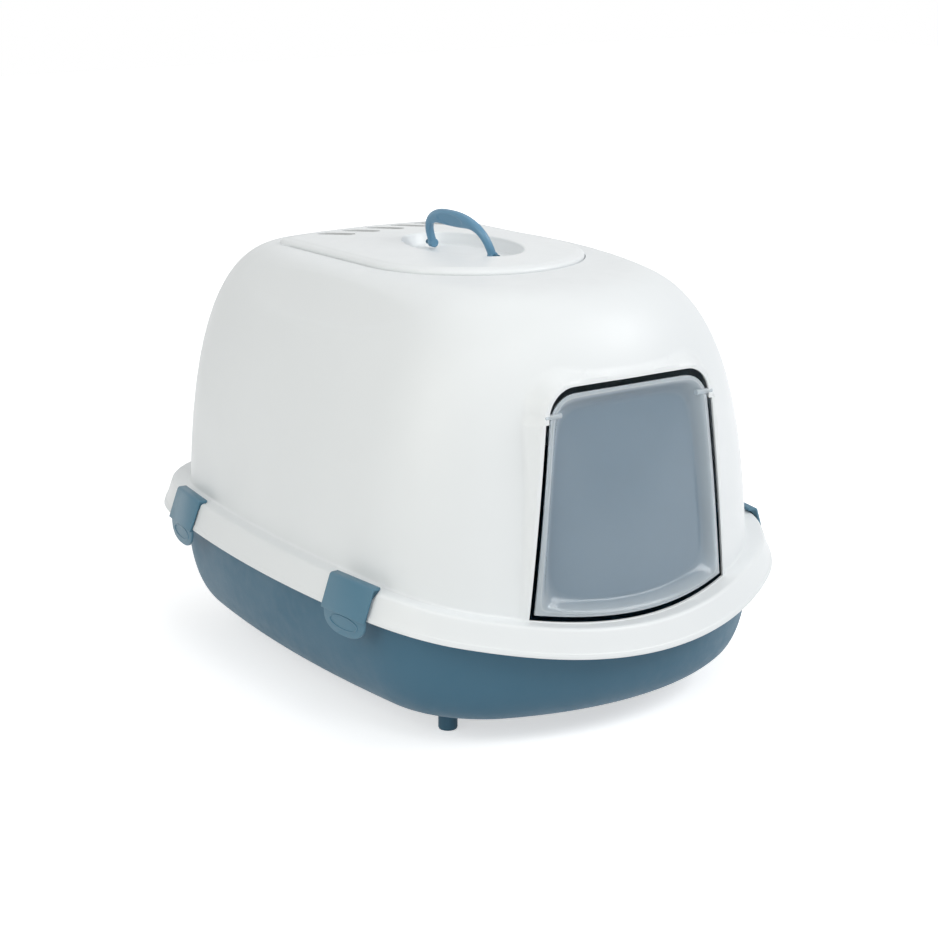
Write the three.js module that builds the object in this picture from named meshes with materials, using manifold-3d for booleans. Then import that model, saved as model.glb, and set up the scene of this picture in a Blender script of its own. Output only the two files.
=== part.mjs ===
// Covered litter box: a tub on four feet, a hood that rests on the tub's rim under four
// hinged clips, a swinging door flap, a roof plate with a carry handle and air slots,
// and a carbon filter in its frame under the slots.
//
// Millimetres. +Z is up, the door faces -Y, and the origin is on the floor under the
// middle of the rim.

import * as THREE from 'three';
import { mergeVertices } from 'three/addons/utils/BufferGeometryUtils.js';
import Module from 'manifold-3d';

const wasm = await Module();
wasm.setup();

// Fits shared by all pieces
const restGap = 0.3;          // between faces that touch
const overrun = 6;            // how far a cut runs past what it cuts

// Rim: the bottom edge of the hood's skirt, seen from above
const rimHalfWidth = 268;
const rimHalfLength = 355;
const rimFrontRadius = 357;
const rimSideRadius = 1617;
const rimWidestPlace = -71;   // Y of the widest place
const rimBackRadius = 374;
const rimCornerRadius = 145;
const rimHeight = 147.6;      // skirt's bottom edge, at the middle
const rimRise = 6.6;          // from the middle to the back
const rimDip = 41;            // how far the rim dips at the front
const rimDipLength = 178;     // length of the dipping stretch

// Hood flange: skirt and ledge
const hoodWall = 2.6;
const skirtHeight = 29;
const skirtFlare = 10;
const ledgeEdgeRadius = 4;
const ledgeFillet = 4;        // where the hood rises from the ledge

// Hood body: outline at the ledge and at the roof
const ledgeSideWidth = 30;
const ledgeFrontWidth = 33;
const ledgeBackWidth = 36;
const hoodFrontFlatness = 3;  // added to the rim's radii
const hoodSideFlatness = 373;
const hoodFrontTightness = 11; // taken off the rim's corners
const hoodBackTightness = 5;
const roofHeight = 453;
const roofSideInset = 128;    // roof's edge inside the rim
const roofFrontInset = 191;
const roofBackInset = 161;
const roofSideRadius = 500;
const roofSidePlace = 20;
const roofFrontRadius = 154;
const roofBackRadius = 350;
const roofFrontTightness = 28; // taken off the roof's half width for its corners
const roofBackTightness = 56;
const hoodSideDraft = 8.3;
const hoodFrontDraft = 15.4;
const hoodBackDraft = 13.4;
const sideRoundnessShare = 2.18;
const frontRoundnessShare = 4.35;
const backRoundnessShare = 2.89;
const hoodLevelShares = [0.06, 0.24, 0.42, 0.58, 0.71, 0.81, 0.89, 0.95, 0.985, 1];

// Shallow hollow on each shoulder of the hood
const scallopLength = 307;
const scallopHeight = 47;
const scallopDepth = 4;
const scallopPlace = -7;      // Y of its middle
const scallopDrop = 31;       // its middle below the roof

// Door: the pad moulded round it, the opening in it and the flap
const doorSideInset = 141.6;  // opening's side at the sill, inside the rim
const doorTaper = 20.2;       // how much narrower it is at the pins
const doorSocketStep = 4;     // the opening is narrower above the pins
const doorSillStep = 1;       // sill above the ledge
const doorTopDrop = 84;       // opening's top below the roof
const doorCornerRadius = 30;
const doorSillInset = 27.4;   // middle of the sill behind the rim's front
const doorLean = 2.2;         // how far the face leans out at the sill
const doorBowStand = 2.5;     // it bows out at the sill a little more than the hood
const padStand = 0.4;         // pad's face in front of the flap's face
const padFaceWidth = 5;       // flat face round the opening
const padFlankWidth = 11;     // and the flank that falls back to the hood
const padFlankDepth = 24;
const hingeDrop = 27;         // pins below the opening's top
const hingeSetback = 2;       // pin's axis behind the flap's face
const socketStepDrop = 7;     // the opening narrows this far below the pins
const flapThickness = 2.4;
const flapGap = 5.6;          // at its sides and its foot
const flapTopGap = 7;
const flapCornerRadius = 31;
const flapSideGap = 1.5;      // beside the pin sockets
const flapRimWidth = 9;
const flapDishShare = 0.91;   // dish's edge, of the flap's half width
const flapDishDepth = 11;
const flapDishSlope = 8;
const pinRadius = 3;
const pinPlay = 0.35;
const pinReach = 6.5;         // past the flap's edge
const pinRoot = 14;           // inside the flap's edge
const socketLength = 11;
const socketDepth = 15;
const socketHeight = 18;

// Roof plate
const plateSideMargin = 15;   // plate's edge inside the roof's edge
const plateFrontMargin = 16;
const plateBackMargin = 24;   // at its back corners
const plateBackTaper = 2;
const plateBackBow = 16;
const plateCornerRadius = 12;
const plateStand = 6;         // plate's edge above the roof
const plateCrown = 7;
const plateEdgeDrop = 3.5;    // its border curves down by this
const plateEdgeShares = [0.99, 0.97, 0.94];
const plateCrownShares = [0.85, 0.65, 0.4, 0.15];
const plateWall = 2.8;
const plateSinking = 4;       // plate's foot below the roof
const plateClearance = 1.2;
const shelfWidth = 7;
const shelfThickness = 4;
const shelfBacking = 6;

// Hollow in the plate for the handle
const recessHalfWidth = 54;
const recessFrontShare = 0.1651; // its ends, of the plate's length from its front
const recessBackShare = 0.684;
const recessDepth = 14;
const recessSlope = 5;

// Air slots
const slotCount = 5;
const slotSpreadShare = 0.53; // outer slots' middles, of the plate's half width
const slotBackMargin = 34;    // slots' middles in front of the plate's back corners
const slotWidthShare = 0.46;  // of the distance between slots
const slotLength = 33;
const slotSkew = 24;          // degrees from the long axis

// Snap hooks under the plate
const hookWidth = 16;
const hookThickness = 2.6;
const hookBarb = 2.2;

// Carry handle
const handleSpanShare = 0.6667; // middles of its legs, of the hollow's length
const handleRise = 47;        // pivot to the grip's top
const handleThickness = 8;    // of its legs
const handleWidth = 8.5;
const gripDepth = 19;         // of its deep middle
const handleSquareShare = 0.8; // exponent of its arch, 1 for an oval
const handleEdgeShare = 0.8;  // exponent of its section
const gripSteepness = 4;      // how suddenly it deepens
const handleTilt = 21;        // degrees it leans at rest
const handlePivotHeight = 6.5; // above the hollow's floor
const handleHubRadius = 6;
const handlePinRadius = 2.6;
const handlePinReach = 6;     // into the boss
const bossWidth = 15;
const bossHeight = 13;

// Tub
const tubWall = 2.6;
const tubLipThickness = 2.6;
const tubLipInset = 14.3;     // lip's edge inside the rim
const tubInset = 26;          // tub's wall inside the rim
const tubFloorHeight = 25;    // underside of the floor
const tubFloorSideInset = 110; // floor's edge inside the rim
const tubFloorFrontInset = 96;
const tubFloorBackInset = 101;
const tubFloorCorner = 95;
const tubRoundnessShare = 3;
const tubLevelShares = [0.1, 0.3, 0.5, 0.68, 0.82, 0.92, 0.98, 1];

// Feet
const footRadius = 10;
const footEdge = 2.5;
const footSideMargin = 11;    // a front foot's middle inside the floor's edge
const footEndMargin = 66;
const footRearSideMargin = 43; // the rear feet stand nearer together
const footRearEndMargin = 38;
const footCollar = 3.5;
const footCollarHeight = 6;

// Clips
const clipWidth = 66;
const clipFrontInset = 172;   // clip's middle behind the rim's front
const clipBackInset = 181;
const clipThickness = 2.8;
const clipGap = 0.8;          // clip's inside to the skirt
const clipHookReach = 10;
const clipTabLength = 24;
const clipTabInset = 1;
const clipTabFullness = 2.5;  // exponent of its outline
const clipBarrelRadius = 3.4;
const clipBarrelLength = 42;
const clipRodRadius = 2;
const clipRodReach = 4.6;
const clipPivotInset = 6;     // pivot inside the rim's edge
const clipPivotRise = 1.5;    // pivot above the rim's edge
const clipNotchHeight = 9;
const clipNotchGap = 1.6;
const clipNotchDepth = 13;    // inwards from the rim's edge
const earThickness = 4.2;
const earRadius = 4.4;
const earGap = 0.4;
const earRootHeight = 11;
const earRootDepth = 14;      // into the tub's wall

// Filter under the slots
const filterForward = 6;      // its middle in front of the slots' middles
const filterSideMargin = 38;  // pad's end inside the plate's back corner
const filterWidth = 38;
const filterThickness = 6;
const filterWall = 2;
const filterGap = 0.4;
const filterBars = 6;
const filterBarWidth = 5;
const filterLip = 4;
const filterPinRadius = 2;
const filterPinReach = 4;
const filterPinInset = 3.5;   // pin's axis behind the frame's front and under its top
const filterEarRadius = 4.5;
const filterEarThickness = 3.5;

// Colours
const white = { color: 0xe9eef0, roughness: 0.42, metalness: 0 };
const petrol = { color: 0x4f7386, roughness: 0.5, metalness: 0 };
const clipBlue = { color: 0x4d7489, roughness: 0.48, metalness: 0 };
const handleBlue = { color: 0x4a7e9e, roughness: 0.4, metalness: 0 };
const smoke = { color: 0x9fb0bc, roughness: 0.15, metalness: 0, transparent: true, opacity: 0.45 };
const charcoal = { color: 0x232527, roughness: 0.95, metalness: 0 };

// Places and sizes that follow from the ones above
const hoodFrontRadius = rimFrontRadius + hoodFrontFlatness;
const hoodSideRadius = rimSideRadius + hoodSideFlatness;
const hoodFrontCorner = rimCornerRadius - hoodFrontTightness;
const hoodBackCorner = rimCornerRadius - hoodBackTightness;
const roofHalfWidth = rimHalfWidth - roofSideInset;
const roofFrontCorner = roofHalfWidth - roofFrontTightness;
const roofBackCorner = roofHalfWidth - roofBackTightness;
const roofFrontLength = rimHalfLength - roofFrontInset;
const roofBackLength = rimHalfLength - roofBackInset;
const scallopLevel = roofHeight - scallopDrop;
const ledgeTop = rimHeight + skirtHeight;
const doorHalfWidth = rimHalfWidth - doorSideInset;
const doorHeadHalfWidth = doorHalfWidth - doorTaper;
const doorSillHeight = ledgeTop - rimRise - rimDip + doorSillStep;
const doorTopHeight = roofHeight - doorTopDrop;
const doorBow = hoodFrontRadius - Math.sqrt(hoodFrontRadius ** 2 - doorHalfWidth ** 2) + doorBowStand;
const doorPlane = rimHalfLength - doorSillInset - doorLean - doorBow;
const hingeHeight = doorTopHeight - hingeDrop;
const plateFrontRadius = roofHalfWidth - plateSideMargin;
const plateFrontCentre = plateFrontRadius + plateFrontMargin - roofFrontLength;
const plateBackHalfWidth = plateFrontRadius - plateBackTaper;
const plateBackPlace = roofBackLength - plateBackMargin;
const plateEdgeHeight = roofHeight + plateStand;
const slotPlace = plateBackPlace - slotBackMargin;
const slotPitch = plateBackHalfWidth * slotSpreadShare * 2 / (slotCount - 1);
const slotWidth = slotPitch * slotWidthShare;
const plateFrontPlace = plateFrontCentre - plateFrontRadius;
const plateLength = plateBackPlace - plateFrontPlace;
const recessCentre = plateFrontPlace + plateLength * (recessFrontShare + recessBackShare) / 2;
const recessHalfLength = plateLength * (recessBackShare - recessFrontShare) / 2;
const filterLength = (plateBackHalfWidth - filterSideMargin) * 2;
const filterPlace = slotPlace - filterForward;
const tubFloorHalfWidth = rimHalfWidth - tubFloorSideInset;
const tubFloorFront = rimHalfLength - tubFloorFrontInset;
const tubFloorBack = rimHalfLength - tubFloorBackInset;
const footX = tubFloorHalfWidth - footSideMargin;
const footY = tubFloorFront - footEndMargin;
const footRearX = tubFloorHalfWidth - footRearSideMargin;
const footRearY = tubFloorBack - footRearEndMargin;
const clipFrontPlace = clipFrontInset - rimHalfLength;
const clipBackPlace = rimHalfLength - clipBackInset;

const arcSteps = [5, 6, 5, 6, 4];
const footSides = 24;
const barSides = 20;
const thinBarSides = 16;
const degree = Math.PI / 180;

// Solids: a closed mesh in, a boolean solid out, and back to a geometry

function toSolid(geometry) {
  const bare = geometry.clone();
  bare.deleteAttribute('normal');
  bare.deleteAttribute('uv');
  const merged = mergeVertices(bare);
  const vertProperties = new Float32Array(merged.attributes.position.array);
  const triVerts = new Uint32Array(merged.index.array);
  return new wasm.Manifold(new wasm.Mesh({ numProp: 3, vertProperties, triVerts }));
}

function toGeometry(solid) {
  const mesh = solid.getMesh();
  const geometry = new THREE.BufferGeometry();
  geometry.setAttribute('position', new THREE.BufferAttribute(mesh.vertProperties, 3));
  geometry.setIndex(new THREE.BufferAttribute(mesh.triVerts, 1));
  geometry.computeVertexNormals();
  return geometry;
}

// A closed skin through rings of points, listed from the lowest ring to the highest.
// Each ring runs anticlockwise seen from above, and each end is closed by a fan.
function loft(rings) {
  const count = rings[0].length;
  const points = rings.flat(2);
  const faces = [];
  for (let i = 0; i + 1 < rings.length; i += 1) {
    for (let j = 0; j < count; j += 1) {
      const k = (j + 1) % count;
      const a = i * count + j;
      const b = i * count + k;
      faces.push(a, b, b + count, a, b + count, a + count);
    }
  }
  for (const end of [0, rings.length - 1]) {
    const ring = rings[end];
    const middle = [0, 1, 2].map((axis) => ring.reduce((sum, p) => sum + p[axis], 0) / count);
    const centre = points.length / 3;
    points.push(...middle);
    for (let j = 0; j < count; j += 1) {
      const a = end * count + j;
      const b = end * count + (j + 1) % count;
      faces.push(...(end === 0 ? [centre, b, a] : [centre, a, b]));
    }
  }
  const geometry = new THREE.BufferGeometry();
  geometry.setAttribute('position', new THREE.BufferAttribute(new Float32Array(points), 3));
  geometry.setIndex(faces);
  return toSolid(geometry);
}

// A solid between rows of front points and rows of back points, listed from the lowest row
// up. The diagonals of its faces point at its middle, in front and behind alike.
function slab(frontRows, backRows) {
  const across = frontRows[0].length;
  const up = frontRows.length;
  const front = frontRows.flat();
  const back = backRows.flat();
  const points = [...front, ...back].flat();
  const shift = front.length;
  const faces = [];
  const quad = (a, b, c, d) => faces.push(a, b, c, a, c, d);
  for (let i = 0; i + 1 < up; i += 1) {
    for (let j = 0; j + 1 < across; j += 1) {
      const a = i * across + j;
      const [b, c, d] = [a + 1, a + 1 + across, a + across];
      const left = j + 0.5 < (across - 1) / 2;
      const low = i + 0.5 < (up - 1) / 2;
      if (left === low) {
        quad(a, b, c, d);
        quad(a + shift, d + shift, c + shift, b + shift);
      } else {
        quad(b, c, d, a);
        quad(b + shift, a + shift, d + shift, c + shift);
      }
    }
  }
  const border = [];
  for (let j = 0; j + 1 < across; j += 1) {
    border.push(j);
  }
  for (let i = 0; i + 1 < up; i += 1) {
    border.push(i * across + across - 1);
  }
  for (let j = across - 1; j > 0; j -= 1) {
    border.push((up - 1) * across + j);
  }
  for (let i = up - 1; i > 0; i -= 1) {
    border.push(i * across);
  }
  border.forEach((a, k) => {
    const b = border[(k + 1) % border.length];
    quad(a, a + shift, b + shift, b);
  });
  const geometry = new THREE.BufferGeometry();
  geometry.setAttribute('position', new THREE.BufferAttribute(new Float32Array(points), 3));
  geometry.setIndex(faces);
  return toSolid(geometry);
}

// A prism along +Z over a closed outline of [x, y] points
function prism(outline, low, high) {
  const shape = new THREE.Shape(outline.map(([x, y]) => new THREE.Vector2(x, y)));
  const geometry = new THREE.ExtrudeGeometry(shape, { depth: high - low, bevelEnabled: false });
  geometry.translate(0, 0, low);
  return toSolid(geometry);
}

function block(low, high) {
  const size = high.map((value, axis) => value - low[axis]);
  const geometry = new THREE.BoxGeometry(...size);
  geometry.translate(...low.map((value, axis) => value + size[axis] / 2));
  return toSolid(geometry);
}

// A round bar from one X to another
function barAlongX(radius, low, high, y, z, sides) {
  const geometry = new THREE.CylinderGeometry(radius, radius, high - low, sides);
  geometry.rotateZ(Math.PI / 2);
  geometry.translate((low + high) / 2, y, z);
  return toSolid(geometry);
}

function barAlongY(radius, low, high, x, z, sides) {
  const geometry = new THREE.CylinderGeometry(radius, radius, high - low, sides);
  geometry.translate(x, (low + high) / 2, z);
  return toSolid(geometry);
}

// Outlines: five arcs from the front's middle to the back's middle, and their mirror

function cornerCentre(a, reachA, b, reachB, side) {
  const apart = Math.hypot(b[0] - a[0], b[1] - a[1]);
  const along = (reachA ** 2 - reachB ** 2 + apart ** 2) / (2 * apart);
  const across = Math.sqrt(Math.max(reachA ** 2 - along ** 2, 0));
  const unit = [(b[0] - a[0]) / apart, (b[1] - a[1]) / apart];
  const foot = [a[0] + unit[0] * along, a[1] + unit[1] * along];
  const choices = [1, -1].map((way) => [
    foot[0] - way * unit[1] * across,
    foot[1] + way * unit[0] * across,
  ]);
  const [first, second] = choices.map(([x, y]) => x + side * y);
  return first > second ? choices[0] : choices[1];
}

function angleFrom(centre, point) {
  return Math.atan2(point[1] - centre[1], point[0] - centre[0]);
}

function outline(o) {
  const front = [0, o.front + o.frontRadius];
  const side = [o.halfWidth - o.sideRadius, o.widest];
  const back = [0, o.back - o.backRadius];
  const nose = cornerCentre(front, o.frontRadius - o.frontCorner, side, o.sideRadius - o.frontCorner, -1);
  const tail = cornerCentre(back, o.backRadius - o.backCorner, side, o.sideRadius - o.backCorner, 1);
  const turns = [
    -Math.PI / 2,
    angleFrom(front, nose),
    angleFrom(side, nose),
    angleFrom(side, tail),
    angleFrom(back, tail),
    Math.PI / 2,
  ];
  const arcs = [
    [front, o.frontRadius],
    [nose, o.frontCorner],
    [side, o.sideRadius],
    [tail, o.backCorner],
    [back, o.backRadius],
  ];
  const half = [];
  arcs.forEach(([centre, radius], i) => {
    for (let step = 0; step < arcSteps[i]; step += 1) {
      const turn = turns[i] + (turns[i + 1] - turns[i]) * step / arcSteps[i];
      half.push([centre[0] + radius * Math.cos(turn), centre[1] + radius * Math.sin(turn)]);
    }
  });
  half[0] = [0, o.front];
  half.push([0, o.back]);
  const mirror = half.slice(1, -1).reverse().map(([x, y]) => [-x, y]);
  return [...half, ...mirror];
}

function rimOutline(inset) {
  return outline({
    halfWidth: rimHalfWidth - inset,
    front: -rimHalfLength + inset,
    back: rimHalfLength - inset,
    frontRadius: rimFrontRadius - inset,
    sideRadius: rimSideRadius - inset,
    backRadius: rimBackRadius - inset,
    widest: rimWidestPlace,
    frontCorner: rimCornerRadius - inset,
    backCorner: rimCornerRadius - inset,
  });
}

// Height of the rim above its height at the middle
function rimLift(y) {
  const dipPlace = rimDipLength - rimHalfLength;
  const dipShare = Math.max(0, dipPlace - y) / rimDipLength;
  return rimRise * y / rimHalfLength - rimDip * dipShare ** 2;
}

// A point inside the rim is lifted as much as the rim at the same turn about this centre
const turnCentre = rimFrontRadius - rimHalfLength;

function turnOf(x, y) {
  return Math.atan2(y - turnCentre, Math.abs(x));
}

const rimTurns = rimOutline(0)
  .filter(([x]) => x >= 0)
  .map(([x, y]) => [turnOf(x, y), y])
  .sort((a, b) => a[0] - b[0]);

function liftAt(x, y) {
  const turn = turnOf(x, y);
  const next = rimTurns.findIndex((row) => row[0] >= turn - Number.EPSILON * 4);
  if (next <= 0) return rimLift(next < 0 ? rimHalfLength : -rimHalfLength);
  const [low, high] = [rimTurns[next - 1], rimTurns[next]];
  return rimLift(mix(low[1], high[1], (turn - low[0]) / (high[0] - low[0])));
}

function lifted(points, height) {
  return points.map(([x, y]) => [x, y, height + liftAt(x, y)]);
}

// Hood

function mix(from, to, share) {
  return from + (to - from) * share;
}

function bulge(low, high, draft, roundness, level) {
  const closing = Math.max(0, 1 - level ** roundness) ** (1 / roundness);
  return high + (low - draft * level - high) * closing;
}

function scalloped([x, y, z], depth) {
  const along = (y - scallopPlace) / (scallopLength / 2);
  const up = (z - scallopLevel) / (scallopHeight / 2);
  const inside = Math.max(0, 1 - along ** 2 - up ** 2);
  return [x - Math.sign(x) * depth * inside, y, z - depth * inside];
}

// One level of the hood's body: 0 at the ledge and 1 at the roof, drawn in by inset
function hoodLevel(level, inset) {
  const turn = level ** 2;
  const reach = (low, high, draft, roundness) => bulge(low - inset, high - inset, draft, roundness, level);
  const lowHalfWidth = rimHalfWidth - ledgeSideWidth;
  const lowFront = rimHalfLength - ledgeFrontWidth;
  const lowBack = rimHalfLength - ledgeBackWidth;
  const points = outline({
    halfWidth: reach(lowHalfWidth, roofHalfWidth, hoodSideDraft, sideRoundnessShare),
    front: -reach(lowFront, roofFrontLength, hoodFrontDraft, frontRoundnessShare),
    back: reach(lowBack, roofBackLength, hoodBackDraft, backRoundnessShare),
    frontRadius: mix(hoodFrontRadius, roofFrontRadius, turn) - inset,
    sideRadius: mix(hoodSideRadius, roofSideRadius, turn) - inset,
    backRadius: mix(rimBackRadius, roofBackRadius, turn) - inset,
    widest: mix(rimWidestPlace, roofSidePlace, turn),
    frontCorner: mix(hoodFrontCorner, roofFrontCorner, turn) - inset,
    backCorner: mix(hoodBackCorner, roofBackCorner, turn) - inset,
  });
  const top = roofHeight - inset;
  return points.map(([x, y]) => {
    const low = ledgeTop + liftAt(x, y) - inset;
    return scalloped([x, y, mix(low, top, level)], scallopDepth);
  });
}

function hoodBaseOutline(inset) {
  return hoodLevel(0, inset).map(([x, y]) => [x, y]);
}

const edgeTurn = Math.SQRT1_2;
const filletStep = ledgeFillet * (1 - edgeTurn);
const innerStep = hoodWall * edgeTurn - filletStep;
const edgeInset = skirtFlare * (1 - ledgeEdgeRadius / skirtHeight);
const edgeStep = ledgeEdgeRadius * (1 - edgeTurn);

const hoodOuter = loft([
  lifted(rimOutline(0), rimHeight),
  lifted(rimOutline(edgeInset), ledgeTop - ledgeEdgeRadius),
  lifted(rimOutline(skirtFlare + edgeStep), ledgeTop - edgeStep),
  lifted(rimOutline(skirtFlare + ledgeEdgeRadius), ledgeTop),
  lifted(hoodBaseOutline(-ledgeFillet), ledgeTop),
  lifted(hoodBaseOutline(-filletStep), ledgeTop + filletStep),
  ...hoodLevelShares.map((level) => hoodLevel(level, 0)),
]);

const hoodInner = loft([
  rimOutline(hoodWall).map(([x, y]) => [x, y, rimHeight - rimDip * 2]),
  lifted(rimOutline(hoodWall), rimHeight),
  lifted(rimOutline(edgeInset + hoodWall), ledgeTop - hoodWall - ledgeEdgeRadius),
  lifted(rimOutline(skirtFlare + ledgeEdgeRadius), ledgeTop - hoodWall),
  lifted(hoodBaseOutline(-ledgeFillet), ledgeTop - hoodWall),
  lifted(hoodBaseOutline(innerStep), ledgeTop - innerStep),
  ...hoodLevelShares.map((level) => hoodLevel(level, hoodWall)),
]);

// Door shapes: blocks lofted upwards, as wide as the door at each height

const stepHeight = hingeHeight - socketStepDrop;
const socketHalfWidth = doorHeadHalfWidth - doorSocketStep;
const sillDepthShares = [-1, -0.75, -0.5, -0.25, 0, 0.25, 0.5, 0.75, 1];

// Front face of the flap: it leans out towards the sill and bows out in the middle
function doorFace(x, z) {
  const down = Math.max(0, (hingeHeight - z) / (hingeHeight - doorSillHeight));
  return -doorPlane - doorLean * down - doorBow * down * (1 - (x / doorHalfWidth) ** 2);
}

function sideWidth(z, growth) {
  const share = (z - doorSillHeight) / (hingeHeight - socketStepDrop - doorSillHeight);
  return mix(doorHalfWidth, doorHeadHalfWidth, share) + growth;
}

function doorLoft({ shares, levels, width, bottom, top, front, back }) {
  const rows = (face) => levels.map((level) => {
    const nominal = mix(doorSillHeight, top, level);
    return shares.map((share) => {
      const x = share * width(nominal);
      const z = mix(bottom(x), top, level);
      return [x, face(x, z), z];
    });
  });
  return slab(rows(front), rows(back));
}

// The sill runs along the ledge, which is as high as the rim at the same turn
function sill(x) {
  const rimX = x * rimFrontRadius / (rimFrontRadius - doorSillInset);
  const rimY = rimFrontRadius - rimHalfLength - Math.sqrt(rimFrontRadius ** 2 - rimX ** 2);
  return ledgeTop + rimLift(rimY) + doorSillStep;
}

// Narrows a width to a quarter round below the top
function rounded(width, top, radius, z) {
  const over = Math.max(0, z - (top - radius));
  return width - radius + Math.sqrt(Math.max(0, radius ** 2 - over ** 2));
}

function topLevels(top, radius, marks) {
  const steps = [0.3, 0.55, 0.75, 0.9, 0.98];
  const arc = steps.map((share) => top - radius + radius * share);
  const heights = [doorSillHeight, ...marks, top - radius, ...arc, top].sort((a, b) => a - b);
  return heights.map((z) => (z - doorSillHeight) / (top - doorSillHeight));
}

const padMargin = padFaceWidth + padFlankWidth;

function openingWidth(z) {
  return z > stepHeight ? socketHalfWidth : sideWidth(z, 0);
}

// How far a point lies outside the opening's outline
function outside(x, z) {
  const across = Math.abs(x) - (socketHalfWidth - doorCornerRadius);
  const up = z - (doorTopHeight - doorCornerRadius);
  if (across > 0 && up > 0) return Math.hypot(across, up) - doorCornerRadius;
  return Math.max(Math.abs(x) - sideWidth(Math.min(z, stepHeight), 0), z - doorTopHeight);
}

function padFace(x, z, inset) {
  const beyond = Math.min(Math.max(0, outside(x, z) + inset - padFaceWidth), padFlankWidth);
  return doorFace(x, z) - padStand + inset + padFlankDepth * beyond / padFlankWidth;
}

const padFaceShares = [-1, -0.97, -0.93, -0.89, -0.7, -0.35, 0, 0.35, 0.7, 0.89, 0.93, 0.97, 1];

function padBlock(inset, foot) {
  const top = doorTopHeight + padMargin - inset;
  const radius = doorCornerRadius + padMargin - inset;
  const edges = [
    mix(doorSillHeight, stepHeight, 0.5),
    stepHeight,
    doorTopHeight,
    doorTopHeight + padFaceWidth - inset,
  ];
  return doorLoft({
    shares: padFaceShares,
    levels: topLevels(top, radius, edges),
    width: (z) => rounded(sideWidth(Math.min(z, stepHeight), padMargin - inset), top, radius, z),
    bottom: () => foot,
    top,
    front: (x, z) => padFace(x, z, inset),
    back: () => -roofFrontLength - padMargin * 2,
  });
}

function openingBlock(shares, levels, width) {
  return doorLoft({
    shares,
    levels,
    width,
    bottom: sill,
    top: doorTopHeight,
    front: () => -rimHalfLength - overrun,
    back: () => -roofFrontLength - padMargin * 2,
  });
}

const doorOpening = openingBlock(
  sillDepthShares,
  topLevels(doorTopHeight, doorCornerRadius, [stepHeight]),
  (z) => rounded(openingWidth(z), doorTopHeight, doorCornerRadius, z),
);

const hingeY = -doorPlane + hingeSetback;
const sides = [-1, 1];

function between(a, b) {
  return [Math.min(a, b), Math.max(a, b)];
}

const pinSockets = sides.map((side) => {
  const [low, high] = between(side * socketHalfWidth, side * (socketHalfWidth + socketLength));
  return block(
    [low, hingeY - hingeSetback - padStand / 2, hingeHeight - socketHeight / 2],
    [high, hingeY - hingeSetback - padStand / 2 + socketDepth, hingeHeight + socketHeight / 2],
  );
});
const flapHeadHalfWidth = socketHalfWidth - flapSideGap;
const pinTip = flapHeadHalfWidth + pinReach;
const pinHoles = sides.map((side) => {
  const [low, high] = between(side * (socketHalfWidth - overrun), side * (pinTip + restGap));
  return barAlongX(pinRadius + pinPlay, low, high, hingeY, hingeHeight, barSides);
});

// Roof plate's outline: a round front, flanks and a bowed back with rounded corners

function plateOutline(growth) {
  const points = [];
  const frontSteps = 12;
  for (let step = 0; step <= frontSteps; step += 1) {
    const turn = -Math.PI / 2 + Math.PI / 2 * step / frontSteps;
    const radius = plateFrontRadius + growth;
    points.push([radius * Math.cos(turn), plateFrontCentre + radius * Math.sin(turn)]);
  }
  const corner = plateCornerRadius + growth;
  const cornerX = plateBackHalfWidth - plateCornerRadius;
  const cornerY = plateBackPlace - plateCornerRadius;
  const cornerSteps = 4;
  for (let step = 0; step <= cornerSteps; step += 1) {
    const turn = Math.PI / 2 * step / cornerSteps;
    points.push([cornerX + corner * Math.cos(turn), cornerY + corner * Math.sin(turn)]);
  }
  for (const share of [0.75, 0.5, 0.25, 0]) {
    points.push([cornerX * share, plateBackPlace + growth + plateBackBow * (1 - share ** 2)]);
  }
  const mirror = points.slice(1, -1).reverse().map(([x, y]) => [-x, y]);
  return [...points, ...mirror];
}

const shelfTop = roofHeight - plateSinking;
const plateFoot = shelfTop + restGap;

// Clips: each stands at a place on the rim, in a frame of its own

function rimPlace(y, side) {
  const ring = rimOutline(0).filter(([x]) => x >= 0).sort((a, b) => a[1] - b[1]);
  const at = (place) => {
    const i = ring.findIndex((point) => point[1] > place);
    const share = (place - ring[i - 1][1]) / (ring[i][1] - ring[i - 1][1]);
    return [side * mix(ring[i - 1][0], ring[i][0], share), place, rimHeight + rimLift(place)];
  };
  const [low, high] = [at(y - clipWidth / 2), at(y + clipWidth / 2)].map((p) => new THREE.Vector3(...p));
  const middle = new THREE.Vector3(...at(y));
  const along = high.clone().sub(low).normalize();
  const out = new THREE.Vector3(0, 0, 1).cross(along).multiplyScalar(-side).normalize();
  const up = along.clone().cross(out).multiplyScalar(-side).normalize();
  return { origin: middle, along: along.multiplyScalar(side), out, up };
}

// The frame's X runs outwards, its Y along the rim and its Z upwards
function placeMatrix(place) {
  const across = place.up.clone().cross(place.out);
  return new THREE.Matrix4().makeBasis(place.out, across, place.up).setPosition(place.origin);
}

function moved(solid, matrix) {
  return toSolid(toGeometry(solid).applyMatrix4(matrix));
}

// A prism along the frame's Y over an outline of [out, up] points
function section(points, low, high) {
  const shape = new THREE.Shape(points.map(([x, z]) => new THREE.Vector2(x, z)));
  const geometry = new THREE.ExtrudeGeometry(shape, { depth: high - low, bevelEnabled: false });
  geometry.rotateX(Math.PI / 2);
  geometry.translate(0, high, 0);
  return toSolid(geometry);
}

function disc(radius, x, z, turns) {
  return turns.map((turn) => [x + radius * Math.cos(turn), z + radius * Math.sin(turn)]);
}

const pivotX = -clipPivotInset;
const pivotZ = clipPivotRise;
const flareSlope = skirtFlare / skirtHeight;

function skirtFace(z, offset) {
  return offset - flareSlope * z;
}

const clipOuter = clipGap + clipThickness;
const hookUnder = skirtHeight + clipGap;
const hookTop = hookUnder + clipThickness;

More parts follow.
